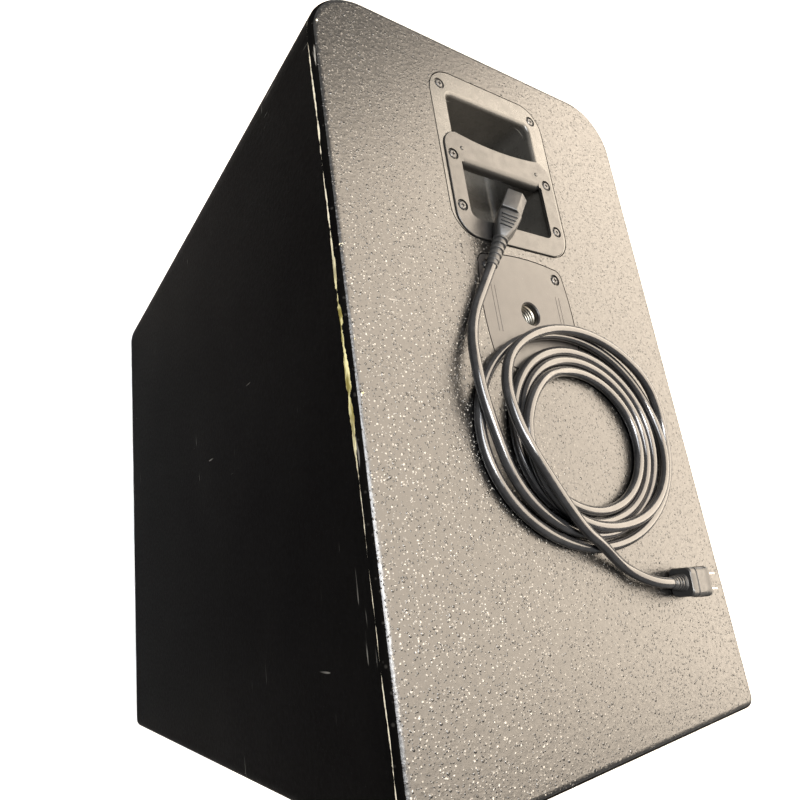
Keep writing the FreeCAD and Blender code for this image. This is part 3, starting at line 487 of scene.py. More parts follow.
# ------------------------ strain reliefs and the plug
RELIEF_RINGS = 5
RELIEF_STEPS = 96             # sections along a relief
RING_DEPTH = 0.0017           # how deep the grooves are between two rings, at the thick end
PLUG_AIM = (-1.0, 0.09, 0.0)
# Boxy sections of the plug, a line each for its neck, rear part, groove, front part and flange:
# place along it, half sizes, boxiness.
PLUG_SECTIONS = (
    (0.0125, 0.0070, 0.0068, 2.4), (0.0138, 0.0076, 0.0074, 2.6),
    (0.0140, 0.0110, 0.0100, 5.0), (0.0152, 0.0119, 0.0108, 6.0), (0.0210, 0.0121, 0.0110, 6.0),
    (0.0214, 0.0116, 0.0105, 6.0), (0.0226, 0.0116, 0.0105, 6.0),
    (0.0230, 0.0121, 0.0110, 6.0), (0.0330, 0.0121, 0.0110, 5.0), (0.0375, 0.0122, 0.0111, 5.0),
    (0.0385, 0.0128, 0.0116, 5.0), (0.0402, 0.0128, 0.0116, 5.0), (0.0410, 0.0124, 0.0112, 5.0))


def relief_radius(part, thin, thick):
    """A relief's radius, part of the way along: a taper with round-edged rings, never inside the cord."""
    wave = 0.5 + 0.5 * math.cos(2 * math.pi * RELIEF_RINGS * (1 - part))
    ring = min(1.0, max(0.0, (wave - 0.38) * 5.0))      # 1 on a ring, 0 in a groove
    groove = RING_DEPTH * (1 - ring) * (0.45 + 0.55 * part)
    return max(thin + (thick - thin) * part - groove, CORD_WIDTH / 2 + 0.0002)


def ribbed_relief(name, place, length, thin, thick, material):
    """A tapered sleeve with rings, from the cord's end (local 0) to the body (local length)."""
    sections = []
    for i in range(RELIEF_STEPS + 1):
        part = i / RELIEF_STEPS
        radius = relief_radius(part, thin, thick)
        sections.append(oval(length * part, radius, radius, 2.0, 32))
    relief = lofted(name, sections, place)
    relief.data.materials.append(material)
    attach(relief, CABINET)
    return relief


def make_plug(material):
    """The wall plug: a ribbed sleeve, and a boxy body with a groove round it and a flange at its face."""
    place = aimed(above_top(PLUG_BACK), PLUG_AIM)
    sleeve = ribbed_relief("plug_sleeve", place, 0.0150, 0.0050, 0.0074, material)
    sections = [oval(x, half_y, half_z, power, 48) for x, half_y, half_z, power in PLUG_SECTIONS]
    body = shade_by_angle(lofted("plug_body", sections, place), 32)
    body.data.materials.append(material)
    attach(body, CABINET)
    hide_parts("mains_plug")
    return sleeve, body


# ------------------------ stage and light
FLOOR_HALF = 30.0
WORLD_STRENGTH = 0.36
# Each lamp: its place, what it faces, its width, its power in watts, its spread in degrees, its tint.
LAMPS = {
    "key": ((-1.38, -0.36, 2.50), (0.0, 0.0, TOP), 3.4, 296.0, 180.0, (1.0, 0.85, 0.68)),
    "back": ((-4.6, -3.2, 2.6), (-4.4, -3.0, 0.0), 4.0, 300.0, 75.0, (1.0, 0.97, 0.94)),
    "fill": ((1.5, -0.2, 2.9), (1.1, -0.2, 0.0), 1.6, 42.0, 75.0, (0.97, 0.98, 1.0)),
    "sparkle": ((0.35, 0.30, 3.1), (0.0, 0.0, TOP), 0.35, 62.0, 180.0, (1.0, 0.97, 0.93))}


def make_floor():
    """A pale floor, with a slight unevenness."""
    size = FLOOR_HALF
    corners = [(-size, -size, 0), (size, -size, 0), (size, size, 0), (-size, size, 0)]
    floor = mesh_object("floor", corners, [(0, 1, 2, 3)])
    n = Nodes("floor_look")
    tone = n.mix(n.noise(3.0, 3.0), rgb(0.66, 0.66, 0.66), rgb(0.69, 0.69, 0.685))
    floor.data.materials.append(n.finish(tone, 0.85, n.bump(n.noise(60.0), 0.0005, 0.2)))


def make_lamp(name, place, target, wide, power, beam, tint):
    """A square lamp turned towards its target."""
    data = bpy.data.lights.new(name, "AREA")
    data.shape = "SQUARE"
    data.size = wide
    data.spread = math.radians(beam)
    data.energy = power
    data.color = tint
    lamp = link(bpy.data.objects.new(name, data))
    lamp.location = place
    lamp.rotation_euler = (Vector(target) - Vector(place)).to_track_quat("-Z", "Y").to_euler()


def make_stage():
    """A pale floor, a dim world and the lamps; the top mirrors the large warm one, the key."""
    make_floor()
    # the photo's blacks are darker than the default view gives
    bpy.context.scene.view_settings.view_transform = "Standard"
    world = bpy.data.worlds.new("studio")
    bpy.context.scene.world = world
    world.use_nodes = True
    background = world.node_tree.nodes["Background"]
    background.inputs["Color"].default_value = rgb(1.0, 0.99, 0.97)
    background.inputs["Strength"].default_value = WORLD_STRENGTH
    for name, settings in LAMPS.items():
        make_lamp(name, *settings)


# ------------------------ the box's paint
LEVEL_FACE = 0.86              # a face of the top whose normal rises more than this has the lit copy of the paint, the rest its shaded copy
WORN_WOOD = (rgb(0.50, 0.46, 0.25), rgb(0.15, 0.125, 0.035))      # where the edge is rubbed deepest
PALE_WOOD = rgb(0.52, 0.48, 0.38)
BLACK_PAINT = (rgb(0.0012, 0.0011, 0.0011), rgb(0.0024, 0.0023, 0.0022))
CRUMB_TONE = rgb(0.026, 0.025, 0.023)
SCUFF_TONE = rgb(0.26, 0.25, 0.23)
# the colour of the glints: painted highlights on the top's level faces
PAINTED_GLINT_TONE = rgb(0.42, 0.395, 0.35)


def edge_distances(n, x, y, z):
    """How far a point is in from the nearest side, from the nearest end, and from the top or the bottom."""
    from_side = n.minus(HALF_W, n.math("ABSOLUTE", x))
    from_end = n.minus(HALF_D, n.math("ABSOLUTE", y))
    from_top = n.least(n.minus(TOP, z), n.minus(z, BOTTOM))
    return from_side, from_end, from_top


def glint_and_pit_places(n, x, y, patches):
    """How many painted glints and pits a place has: more towards the right and the rear, in loose patches."""
    sideways = n.plus(n.spread(x, -0.12, 0.17, 0.10, 0.75), n.times(patches, 0.55))
    return n.times(sideways, n.spread(y, -0.26, 0.04, 0.58, 1.0))


def painted_glint_places(n, glint_and_pit_amount, rise):
    """Painted highlights: bright flecks painted into the colour as glints, only on faces that are nearly
    level.
    """
    flecks = n.most(n.drops(300.0, 0.09, 0.30, 0.10, 1.9), n.drops(390.0, 0.08, 0.32, 0.20, 5.3))
    flecks = n.times(flecks, n.spread(glint_and_pit_amount, 0.35, 1.00, 0.08, 1.0))
    flecks = n.times(flecks, n.spread(n.noise(700.0, 2.0), 0.40, 0.56, 0.15, 1.0))
    return n.times(flecks, n.spread(rise, 0.95, 0.98))


def paint_relief(n, glint_and_pit_amount, drops, swell, painted_glints):
    """The spatter's height: drops and crumbs on a slow swell with fine grain, with pits, and raised at the
    painted glints.
    """
    crumbs = n.drops(460.0, 0.10, 0.34, 0.30)
    grain = n.noise(1500.0, 3.0, 0.6)
    pits = n.times(n.drops(265.0, 0.03, 0.13, 0.58, 3.7), n.spread(glint_and_pit_amount, 0.35, 0.95, 1.0, 0.25))
    height = n.plus(n.times(drops, 0.75), n.times(crumbs, 0.60))
    height = n.plus(height, n.times(swell, 0.62))
    height = n.plus(height, n.times(grain, 0.15))
    return n.plus(n.minus(height, pits), n.times(painted_glints, 0.5))


def rubbed_edge(n, x, z, middle):
    """The line where the round-over meets the right-hand side, ragged, and widest at its middle."""
    ragged = n.noise(40.0, 5.0, 0.65, n.stretched((0.6, 1.0, 2.0)))
    burst = n.noise(9.0, 3.0, 0.6, n.stretched((1.0, 1.0, 0.2)))
    wide = n.plus(n.times(middle, 0.0016), n.spread(burst, 0.38, 0.64, 0.0002, 0.0010))
    reach = n.times(wide, n.spread(ragged, 0.38, 0.60, 0.0, 1.25))
    wander = n.times(n.minus(n.noise(14.0, 4.0, 0.6), 0.5), 0.0034)
    from_line = n.math("ABSOLUTE", n.minus(n.minus(TOP - EDGE_ROUND * 0.96, z), wander))
    return n.times(n.below(from_line, reach), n.above(x, HALF_W - 0.0016))


def edge_chips(n, from_side, from_end, from_top):
    """Small chips on every edge, where two of the three distances are small."""
    from_upright = n.plus(from_side, from_end)
    from_edge = n.least(n.plus(from_side, from_top), n.least(n.plus(from_end, from_top), from_upright))
    return n.times(n.below(from_edge, 0.0085), n.above(n.noise(95.0, 4.0, 0.7), 0.70))


def scuff_places(n, patches):
    """Short pale strokes, rare, in two directions."""
    level = n.noise(30.0, 2.0, 0.5, n.stretched((1.0, 0.6, 9.0)))
    upright = n.noise(24.0, 2.0, 0.5, n.stretched((1.0, 8.0, 0.7)))
    strokes = n.most(n.spread(level, 0.725, 0.77), n.spread(upright, 0.74, 0.78))
    return n.times(strokes, n.spread(patches, 0.48, 0.66))


def wood_tone(n, middle):
    """Bare wood: pale along the edges, and olive with darker fibres where the line is rubbed deepest."""
    fibres = n.spread(n.noise(160.0, 3.0, 0.6, n.stretched((1.0, 0.25, 1.0))), 0.42, 0.58)
    return n.mix(middle, PALE_WOOD, n.mix(fibres, *WORN_WOOD))


def paint_material(name, duller, shine):
    """Black spatter-textured paint, rubbed and chipped to the wood along the edges, scuffed, with glints as
    painted highlights.

    duller is how much rougher the upright faces are than the level ones; shine is the specular level.
    """
    n = Nodes(name)
    x, y, z = n.split(n.coords)
    rise = n.split(n.facing)[2]
    patches = n.noise(7.0, 4.0, 0.55)
    swell = n.noise(240.0, 2.0, 0.5)
    drops = n.drops(215.0, 0.10, 0.27, 0.40)
    glint_and_pit_amount = glint_and_pit_places(n, x, y, patches)
    painted_glints = painted_glint_places(n, glint_and_pit_amount, rise)
    middle = n.times(n.spread(y, -0.11, -0.01), n.spread(y, 0.13, 0.05))
    bare = n.most(rubbed_edge(n, x, z, middle), edge_chips(n, *edge_distances(n, x, y, z)))

    color = n.mix(n.spread(patches, 0.3, 0.7), *BLACK_PAINT)
    color = n.mix(n.times(drops, 0.5), color, CRUMB_TONE)
    color = n.mix(n.times(scuff_places(n, patches), 0.60), color, SCUFF_TONE)
    # painted highlights: the glints lighten the colour itself
    color = n.mix(n.times(painted_glints, 0.60), color, PAINTED_GLINT_TONE)
    color = n.mix(bare, color, wood_tone(n, middle))

    upright = n.minus(1.0, n.spread(rise, 0.30, 0.75))
    rough = n.minus(n.spread(swell, 0.3, 0.7, 0.36, 0.28), n.times(drops, 0.12))
    rough = n.plus(rough, n.times(upright, duller))
    rough = n.math("ADD", rough, n.times(bare, 0.3), clamp=True)
    height = n.minus(paint_relief(n, glint_and_pit_amount, drops, swell, painted_glints), n.times(bare, 1.2))
    return n.finish(color, rough, n.bump(height, 0.00045), Specular_IOR_Level=shine)


def plain_paint_material():
    """The same paint, thinner and unworn, for the front baffle."""
    n = Nodes("thin_paint_look")
    height = n.plus(n.spread(n.cells(420.0), 0.1, 0.6, 1.0, 0.0), n.noise(1500.0, 2.0))
    color = n.mix(n.noise(12.0, 3.0), rgb(0.016, 0.016, 0.016), rgb(0.028, 0.027, 0.026))
    return n.finish(color, n.spread(n.noise(300.0), 0.3, 0.7, 0.5, 0.7), n.bump(height, 0.0002, 0.8))


# ------------------------ wood, plastic, metal and cloth
def plywood_material():
    """Bare plywood, with its plies as level bands."""
    n = Nodes("bare_plywood_look")
    grain = n.noise(22.0, 5.0, 0.6, n.stretched((1.0, 0.08, 1.0)), 1.5)
    plies = n.math("FRACT", n.times(n.split(n.coords)[2], 400.0))
    color = n.mix(grain, rgb(0.62, 0.47, 0.29), rgb(0.42, 0.28, 0.15))
    color = n.mix(n.times(n.spread(plies, 0.45, 0.55), 0.25), color, rgb(0.30, 0.19, 0.10))
    return n.finish(color, 0.6, n.bump(grain, 0.0002, 0.6))


def satin_plastic(name, dark, light, rough, texture=1100.0, depth=0.00006):
    """Moulded plastic with a fine texture and a little dust."""
    n = Nodes(name)
    cloudy = n.noise(14.0, 4.0, 0.6)
    fine = n.plus(n.cells(texture), n.times(n.noise(texture * 0.4, 3.0), 0.7))
    color = n.mix(n.spread(cloudy, 0.3, 0.7), rgb(*dark), rgb(*light))
    dust = n.spread(n.noise(420.0, 4.0, 0.7), 0.66, 0.80)
    color = n.mix(n.times(dust, 0.22), color, rgb(0.35, 0.33, 0.30))
    roughness = n.spread(n.noise(120.0, 3.0), 0.3, 0.7, *rough)
    return n.finish(color, roughness, n.bump(fine, depth, 0.8))


def metal(name, tone, rough, brushed=(1.0, 1.0, 1.0), scale=500.0, metallic=1.0, depth=0.00003, **extra):
    """Metal, bare or coated, with streaks that are longest along the axis where brushed is smallest."""
    n = Nodes(name)
    streaks = n.noise(scale, 3.0, 0.6, n.stretched(brushed))
    color = n.mix(n.noise(40.0, 3.0), rgb(*tone), rgb(*[c * 0.72 for c in tone]))
    roughness = n.spread(streaks, 0.3, 0.7, *rough)
    return n.finish(color, roughness, n.bump(streaks, depth, 0.8), metallic, **extra)


def worn_black_steel():
    """Black screws, rubbed to bare metal where a driver has turned them."""
    n = Nodes("black_screw_look")
    rub = n.spread(n.noise(700.0, 4.0, 0.7), 0.56, 0.66)
    color = n.mix(rub, rgb(0.020, 0.020, 0.021), rgb(0.30, 0.29, 0.27))
    rough = n.spread(n.noise(900.0, 2.0), 0.3, 0.7, 0.28, 0.48)
    return n.finish(color, rough, n.bump(n.noise(1600.0), 0.00003, 0.8), n.times(rub, 0.9))


def foam_material():
    """Open grey foam."""
    n = Nodes("foam_look")
    pores = n.cells(900.0, "DISTANCE_TO_EDGE")
    color = n.mix(n.spread(pores, 0.0, 0.3), rgb(0.035, 0.035, 0.035), rgb(0.008, 0.008, 0.008))
    return n.finish(color, 0.95, n.bump(pores, 0.0006, 1.0))


def spider_material():
    """The woven, varnished cloth behind the cone."""
    n = Nodes("spider_look")
    weave = n.times(n.waves(300.0, 0.6, "X"), n.waves(300.0, 0.6, "Z"))
    color = n.mix(weave, rgb(0.55, 0.40, 0.20), rgb(0.40, 0.27, 0.12))
    return n.finish(color, 0.8, n.bump(weave, 0.0002, 0.8))


def cone_material():
    """Coated paper pulp with short fibres."""
    n = Nodes("paper_cone_look")
    fibres = n.noise(260.0, 5.0, 0.7, distortion=2.0)
    color = n.mix(fibres, rgb(0.020, 0.020, 0.021), rgb(0.060, 0.058, 0.056))
    return n.finish(color, n.spread(fibres, 0.3, 0.7, 0.55, 0.8), n.bump(fibres, 0.0003, 0.8))


def rubber_material():
    """Dull black rubber, greyed in places."""
    n = Nodes("rubber_look")
    color = n.mix(n.noise(45.0, 4.0), rgb(0.018, 0.018, 0.018), rgb(0.048, 0.046, 0.044))
    height = n.plus(n.cells(1500.0), n.noise(500.0, 3.0))
    return n.finish(color, n.spread(n.noise(130.0), 0.3, 0.7, 0.50, 0.72), n.bump(height, 0.0001, 0.8))


def board_material():
    """A green circuit board with lighter tracks."""
    n = Nodes("circuit_board_look")
    tracks = n.spread(n.cells(260.0, "DISTANCE_TO_EDGE", 0.4), 0.02, 0.06)
    color = n.mix(tracks, rgb(0.03, 0.16, 0.07), rgb(0.015, 0.09, 0.04))
    return n.finish(color, 0.35, n.bump(tracks, 0.0001, 0.5))


def winding_material():
    """Turns of varnished copper wire."""
    n = Nodes("winding_look")
    turns = n.waves(220.0, 1.0, "DIAGONAL")
    color = n.mix(turns, rgb(0.45, 0.20, 0.08), rgb(0.75, 0.42, 0.20))
    return n.finish(color, 0.4, n.bump(turns, 0.0003, 0.8), 0.5)


def lens_material():
    """The green caps of the status lights."""
    n = Nodes("status_light_look")
    swirl = n.noise(500.0, 2.0)
    color = n.mix(swirl, rgb(0.05, 0.45, 0.12), rgb(0.10, 0.70, 0.22))
    return n.finish(color, n.spread(swirl, 0.3, 0.7, 0.08, 0.2), n.bump(swirl, 0.00003, 0.5))


def wadding_material():
    """Pale fluffy damping wool."""
    n = Nodes("wadding_look")
    fluff = n.noise(180.0, 6.0, 0.75, distortion=1.0)
    color = n.mix(fluff, rgb(0.80, 0.79, 0.75), rgb(0.60, 0.58, 0.54))
    return n.finish(color, 0.95, n.bump(fluff, 0.003, 1.0))


def grille_material():
    """Black powder coat with a fine orange peel."""
    n = Nodes("grille_powder_coat_look")
    peel = n.plus(n.noise(800.0, 3.0), n.cells(1500.0))
    color = n.mix(n.noise(18.0, 4.0), rgb(0.007, 0.007, 0.007), rgb(0.013, 0.0127, 0.0123))
    rough = n.spread(n.noise(200.0, 3.0), 0.3, 0.7, 0.34, 0.50)
    return n.finish(color, rough, n.bump(peel, 0.00006, 0.7), Specular_IOR_Level=0.22)


def printed_material():
    """White printing, worn thin in places."""
    n = Nodes("printed_marks_look")
    worn = n.noise(600.0, 4.0, 0.7)
    color = n.mix(n.spread(worn, 0.55, 0.7), rgb(0.70, 0.70, 0.68), rgb(0.30, 0.30, 0.29))
    return n.finish(color, 0.5, n.bump(worn, 0.00003, 0.5))


# ------------------------ dressing the CAD nodes
def dress(material, *nodes):
    """Give carried-over CAD nodes a material."""
    for name in nodes:
        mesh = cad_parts[name].data
        mesh.materials.clear()
        mesh.materials.append(material)
        for polygon in mesh.polygons:
            polygon.material_index = 0


def dress_box():
    """The box, its brace, wool and feet; the other panels and the top's round-over have a shaded copy of the
    top's paint.
    """
    # painted shade: this copy of the paint has its specular all but off, so these faces stay dark as if in
    # shade
    shaded_side_paint = paint_material("shaded_side_paint_look", 0.26, 0.003)
    dress(paint_material("lit_top_paint_look", 0.0, 0.70), "top_panel")
    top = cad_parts["top_panel"].data
    top.materials.append(shaded_side_paint)
    for polygon in top.polygons:
        polygon.material_index = 0 if polygon.normal.z > LEVEL_FACE else 1
    dress(shaded_side_paint, "bottom_panel", "left_side_panel", "right_side_panel", "left_corner_post",
          "right_corner_post", "rear_panel")
    dress(plain_paint_material(), "front_baffle")
    dress(plywood_material(), "shelf_brace")
    dress(wadding_material(), "damping_wool")
    dress(rubber_material(), "rubber_feet", "woofer_surround")      # the surround is the same rubber


def dress_fittings():
    """The handle, the pole socket, every screw, the steel tabs and plates, and the plug's blades."""
    handle = satin_plastic("handle_plastic_look", (0.012, 0.012, 0.011), (0.020, 0.019, 0.018), (0.30, 0.40))
    # painted light: the cup's plastic is lighter than the frame's, standing in for light in its recess
    lit_cup = satin_plastic("lit_cup_plastic_look", (0.034, 0.033, 0.030), (0.060, 0.057, 0.051), (0.24, 0.34))
    plate = satin_plastic("pole_plate_look", (0.013, 0.012, 0.012), (0.020, 0.019, 0.018), (0.30, 0.38),
                          texture=1500.0, depth=0.00003)
    dress(handle, "handle_bar_frame")
    dress(lit_cup, "handle_cup")
    dress(plate, "pole_plate")
    dress(worn_black_steel(), "handle_screws", "pole_plate_screws", "grille_screws", "woofer_screws",
          "amp_panel_screws")
    dress(metal("oiled_steel_look", (0.14, 0.135, 0.12), (0.30, 0.45)), "pole_insert")
    dress(metal("zinc_steel_look", (0.62, 0.60, 0.56), (0.25, 0.45)), "latch_tab_1", "latch_tab_2",
          "woofer_top_plate", "woofer_yoke")
    dress(metal("nickel_look", (0.72, 0.70, 0.65), (0.18, 0.34), (0.1, 1.0, 1.0)), "plug_blades")


def dress_woofer():
    """The foam, the woofer and what moves in it; the transformer's winding is the voice coil's."""
    dress(foam_material(), "grille_foam")
    basket = metal("basket_look", (0.05, 0.05, 0.05), (0.45, 0.6), metallic=0.3)
    ferrite = metal("ferrite_look", (0.10, 0.10, 0.105), (0.55, 0.75), metallic=0.0, depth=0.0001)
    dress(basket, "woofer_basket")
    dress(ferrite, "woofer_magnet")
    dress(cone_material(), "woofer_cone", "woofer_dust_cap")
    dress(spider_material(), "woofer_spider")
    dress(winding_material(), "voice_coil", "mains_transformer")


def dress_amplifier():
    """The amplifier's tray and panel, its controls, what it holds, and the black mouldings at the front."""
    moulding = satin_plastic("black_moulding_look", (0.009, 0.009, 0.009), (0.015, 0.0145, 0.014),
                             (0.26, 0.40))
    rocker = satin_plastic("rocker_look", (0.015, 0.015, 0.015), (0.022, 0.022, 0.022), (0.18, 0.28))
    coated = metal("powder_coat_look", (0.020, 0.0196, 0.019), (0.42, 0.60), metallic=0.0, depth=0.00012,
                   scale=900.0, Specular_IOR_Level=0.3)
    dress(moulding, "grille_standoffs", "port_tubes", "mains_inlet", "power_switch_frame", "input_socket_1",
          "input_socket_2", "output_sockets", "mode_button_1", "mode_button_2", *KNOBS)
    dress(rocker, "power_rocker")
    dress(coated, "amp_tray", "amp_panel")
    dress(metal("heat_sink_look", (0.60, 0.60, 0.60), (0.30, 0.50), (1.0, 1.0, 0.05)), "heat_sink")
    dress(board_material(), "amp_board")
    dress(metal("can_look", (0.12, 0.12, 0.22), (0.3, 0.45), metallic=0.2), "filter_capacitors")
    dress(lens_material(), "status_lights")


# ------------------------ the pole socket and the handle
THREAD_RADIUS = 0.0100
THREAD_DEPTH = 0.0012
THREAD_PITCH = 0.0025
THREAD_TURNS = 13.5
THREAD_STEPS = 40              # in each turn
THREAD_FADE = 12               # steps over which the ridge grows from nothing
THREAD_DOWN = 0.0012           # from the top of the insert to the thread
RIB_PLACES = (0.0385, 0.0425)  # the plate's ribs, sideways from the pole
RIB_FRONT = 0.022              # from the pole to a rib's front end
RIB_REAR = 0.021               # from the pole to its rear end
RIB_HALF = 0.0004              # half a rib's width
RIB_RISE = 0.00022             # above the plate, which is flush with the top
PIP_PLACE = 0.048              # the bar's pips, sideways from the middle
PIP_BACK = 0.0165              # from the bar frame's front edge to the pips


def make_thread():
    """The ribs of the pole socket's thread: one helical ridge down the wall of the hole."""
    wall = THREAD_RADIUS + 0.0001                                     # a hair inside the steel
    profile = [(0.0, -0.46), (1.0, -0.08), (1.0, 0.08), (0.0, 0.46)]  # in ridge heights, and in pitches
    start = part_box("pole_insert")[1][2] - THREAD_DOWN - THREAD_PITCH / 2
    steps = int(THREAD_TURNS * THREAD_STEPS)
    verts = []
    faces = []
    for i in range(steps + 1):
        angle = -2 * math.pi * i / THREAD_STEPS
        z = start - THREAD_PITCH * i / THREAD_STEPS
        ridge = (wall - THREAD_RADIUS + THREAD_DEPTH) * min(1.0, i / THREAD_FADE)
        for out, along in profile:
            radius = wall - ridge * out
            x = POLE_X + radius * math.cos(angle)
            y = POLE_Y + radius * math.sin(angle)
            verts.append((x, y, z + THREAD_PITCH * along))
    for i in range(steps):
        for k in range(4):
            a = i * 4 + k
            b = i * 4 + (k + 1) % 4
            faces.append((a, b, b + 4, a + 4))
    faces.append((0, 1, 2, 3))
    faces.append(tuple(steps * 4 + k for k in (3, 2, 1, 0)))
    thread = shade_by_angle(mesh_object("pole_thread_ribs", verts, faces), 30)
    thread.data.materials.append(metal("thread_steel_look", (0.20, 0.19, 0.165), (0.30, 0.45)))
    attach(thread, CABINET)


def make_plate_ribs():
    """Two plain raised ribs down each side of the pole plate."""
    pieces = []
    for side in (-1, 1):
        for offset in RIB_PLACES:
            x = POLE_X + side * offset
            start = (x - RIB_HALF, POLE_Y - RIB_FRONT, TOP - 0.0002)
            end = (x + RIB_HALF, POLE_Y + RIB_REAR, TOP + RIB_RISE)
            pieces.append(box_piece("rib", start, end, 0.00015))
    ribs = joined("pole_plate_ribs", pieces)
    ribs.data.materials.append(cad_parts["pole_plate"].data.materials[0])
    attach(ribs, CABINET)


def make_bar_pips():
    """Two round moulding pips on the handle's bar."""
    low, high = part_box("handle_bar_frame")
    dome = ((0.0, 0.0021), (0.0004, 0.0020), (0.0007, 0.0015), (0.0009, 0.0007))     # height, and radius
    sections = [oval(height, radius, radius, 2.0, 20) for height, radius in dome]
    nearly_up = (0.001, 0, 1)      # straight up would leave aimed() no sideways direction
    pips = []
    for side in (-1, 1):
        foot = (side * PIP_PLACE, low[1] + PIP_BACK, high[2] - 0.0001)
        pips.append(lofted("pip", sections, aimed(foot, nearly_up)))
    pair = joined("handle_bar_pips", pips)
    pair.data.materials.append(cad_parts["handle_bar_frame"].data.materials[0])
    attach(pair, CABINET)


# ------------------------ the grille
GRILLE_SHEET = 0.0016          # the sheet's thickness
GRILLE_PITCH = 0.0090          # between two openings
GRILLE_HOLE = 0.0034           # from the middle of an opening to its corners
GRILLE_MARGIN = 0.0105         # plain sheet round the openings
SCREW_LAND = 0.0085            # plain sheet round each screw
GRILLE_SCREWS = [(side * 0.143, z) for side in (-1, 1) for z in (0.062, 0.262, 0.658)]


def add_cell(verts, faces, x, z, face, blank):
    """One hexagon of the sheet, with a hexagonal opening through it, or filled if it is blank."""
    start = len(verts)
    for y in (face, face + GRILLE_SHEET):
        for reach in (GRILLE_PITCH / math.sqrt(3), GRILLE_HOLE):
            for k in range(6):
                angle = math.radians(60 * k + 30)
                verts.append((x + reach * math.cos(angle), y, z + reach * math.sin(angle)))
    for k in range(6):
        j = (k + 1) % 6
        faces.append((start + k, start + j, start + 6 + j, start + 6 + k))
        faces.append((start + 12 + j, start + 12 + k, start + 18 + k, start + 18 + j))
        if not blank:
            faces.append((start + 6 + k, start + 6 + j, start + 18 + j, start + 18 + k))
    if blank:
        faces.append(tuple(start + 6 + k for k in range(6)))
        faces.append(tuple(start + 18 + k for k in range(5, -1, -1)))


def grille_field(low, high):
    """The honeycomb of openings, left blank round each screw."""
    row_step = GRILLE_PITCH * math.sqrt(3) / 2
    rows = int((high[2] - low[2] - 2 * GRILLE_MARGIN) / row_step)
    columns = int((high[0] - low[0] - 2 * GRILLE_MARGIN) / GRILLE_PITCH)
    z_start = (low[2] + high[2]) / 2 - (rows - 1) * row_step / 2
    verts = []
    faces = []
    for row in range(rows):
        count = columns - row % 2
        z = z_start + row * row_step
        for column in range(count):
            x = (column - (count - 1) / 2) * GRILLE_PITCH
            near_screw = any(math.dist((x, z), screw) < SCREW_LAND for screw in GRILLE_SCREWS)
            add_cell(verts, faces, x, z, low[1], near_screw)
    return mesh_object("grille_field", verts, faces, smooth=False)


def grille_border(low, high):
    """Four plain margins, a hair proud of the field to cover its ragged rim, and four folded flanges."""
    band = GRILLE_MARGIN + 0.003
    proud = 0.0002
    left, front, foot = low
    right, back, head = high
    margin_front = front - proud
    margin_back = front + GRILLE_SHEET + proud
    strips = [((left, margin_front, foot), (right, margin_back, foot + band)),
              ((left, margin_front, head - band), (right, margin_back, head)),
              ((left, margin_front, foot), (left + band, margin_back, head)),
              ((right - band, margin_front, foot), (right, margin_back, head)),
              ((left, front, foot), (left + GRILLE_SHEET, back, head)),
              ((right - GRILLE_SHEET, front, foot), (right, back, head)),
              ((left, front, foot), (right, back, foot + GRILLE_SHEET)),
              ((left, front, head - GRILLE_SHEET), (right, back, head))]
    return [box_piece("strip", start, end, 0.0006) for start, end in strips]


def make_grille():
    """A folded steel sheet with a honeycomb of openings inside a plain margin."""
    low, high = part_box("front_grille")
    grille = joined("perforated_grille", [grille_field(low, high)] + grille_border(low, high))
    shade_by_angle(grille, 30)
    grille.data.materials.append(grille_material())
    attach(grille, CABINET)
    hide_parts("front_grille")


# ------------------------ printing on the rear panel and the knobs
KNOB_SWEEP = 140               # degrees that a knob turns each way
TICKS = 11
TICK_START = 0.0128            # from the knob's middle
TICK_END = 0.0160
LONG_TICK_END = 0.0172         # for the first, the middle and the last
TICK_HALF = 0.00035            # half a tick's width
LINE_HALF = 0.0003             # half the width of the line round the sockets
LINE_ROOM_X = 0.010            # from the sockets to the line, sideways
LINE_ROOM_Z = 0.007            # the same, up and down
POINTER_HALF = 0.0005          # half the width of a knob's painted line
POINTER_START = 0.0016         # from the knob's middle
POINTER_END = 0.0084


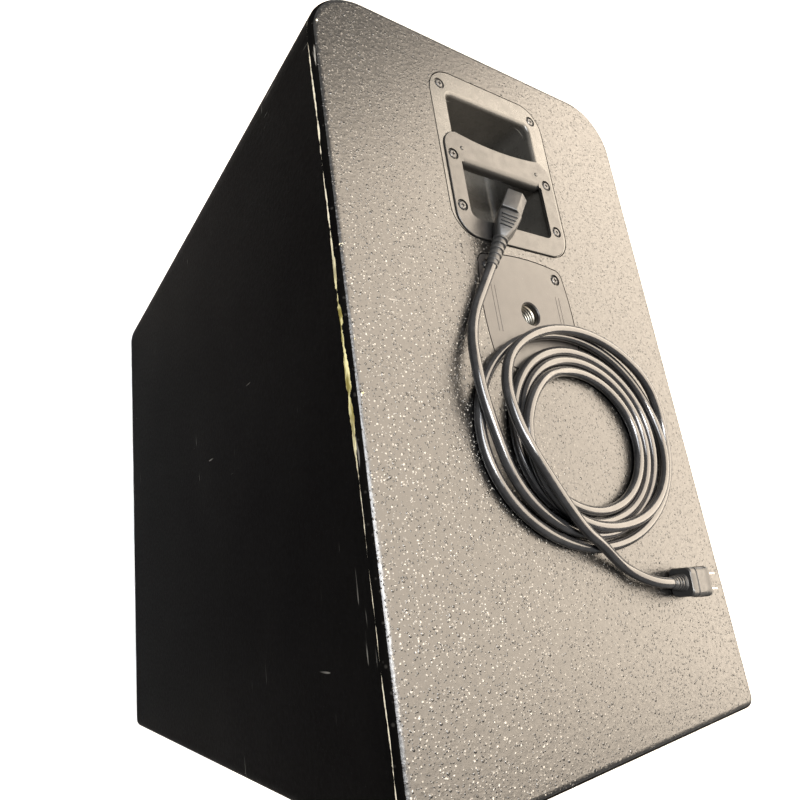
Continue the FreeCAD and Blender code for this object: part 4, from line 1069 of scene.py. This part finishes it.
def add_bar(verts, faces, face, x, z, angle, start, end, half):
    """A thin flat bar on the panel's face, between two distances from a point, in one direction."""
    c = math.cos(angle)
    s = math.sin(angle)
    first = len(verts)
    for y in (face - 0.00005, face + 0.00012):
        for reach, side in ((start, -half), (end, -half), (end, half), (start, half)):
            verts.append((x + reach * c - side * s, y, z + reach * s + side * c))
    faces.extend([(first, first + 1, first + 2, first + 3), (first + 7, first + 6, first + 5, first + 4)])
    for k in range(4):
        j = (k + 1) % 4
        faces.append((first + k, first + 4 + k, first + 4 + j, first + j))


def make_panel_marks(printed):
    """Plain ticks round each level knob, and a plain line round the sockets."""
    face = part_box("amp_panel")[1][1]
    verts = []
    faces = []
    for knob in KNOBS:
        x, _, z = box_middle(knob)
        for i in range(TICKS):
            angle = math.radians(90 - KNOB_SWEEP + 2 * KNOB_SWEEP / (TICKS - 1) * i)
            end = TICK_END if i % 5 else LONG_TICK_END
            add_bar(verts, faces, face, x, z, angle, TICK_START, end, TICK_HALF)
    socket_low, socket_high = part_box("output_sockets")
    left = socket_low[0] - LINE_ROOM_X
    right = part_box("input_socket_1")[1][0] + LINE_ROOM_X
    foot = socket_low[2] - LINE_ROOM_Z
    head = socket_high[2] + LINE_ROOM_Z
    for z in (foot, head):
        add_bar(verts, faces, face, left, z, 0.0, 0.0, right - left, LINE_HALF)
    for x in (left, right):
        add_bar(verts, faces, face, x, foot, math.pi / 2, 0.0, head - foot, LINE_HALF)
    marks = mesh_object("amp_panel_marks", verts, faces, smooth=False)
    marks.data.materials.append(printed)
    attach(marks, CABINET)


def make_knob_lines(printed):
    """The painted line along each knob's raised pointer, which turns with the knob."""
    for knob in KNOBS:
        x, _, z = box_middle(knob)
        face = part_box(knob)[1][1]
        start = (x - POINTER_HALF, face - 0.0002, z + POINTER_START)
        end = (x + POINTER_HALF, face + 0.00015, z + POINTER_END)
        line = box_piece(knob + "_line", start, end, 0.0001)
        line.data.materials.append(printed)
        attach(line, knob)


# ------------------------ making it all
def main():
    make_camera()
    cord = make_cord()
    moulded = moulded_material()
    connector, relief = make_connector(moulded)
    sleeve, plug = make_plug(moulded)
    make_stage()
    dress_box()
    dress_fittings()
    dress_woofer()
    dress_amplifier()
    make_thread()
    make_plate_ribs()
    make_bar_pips()
    make_grille()
    printed = printed_material()
    make_panel_marks(printed)
    make_knob_lines(printed)


main()
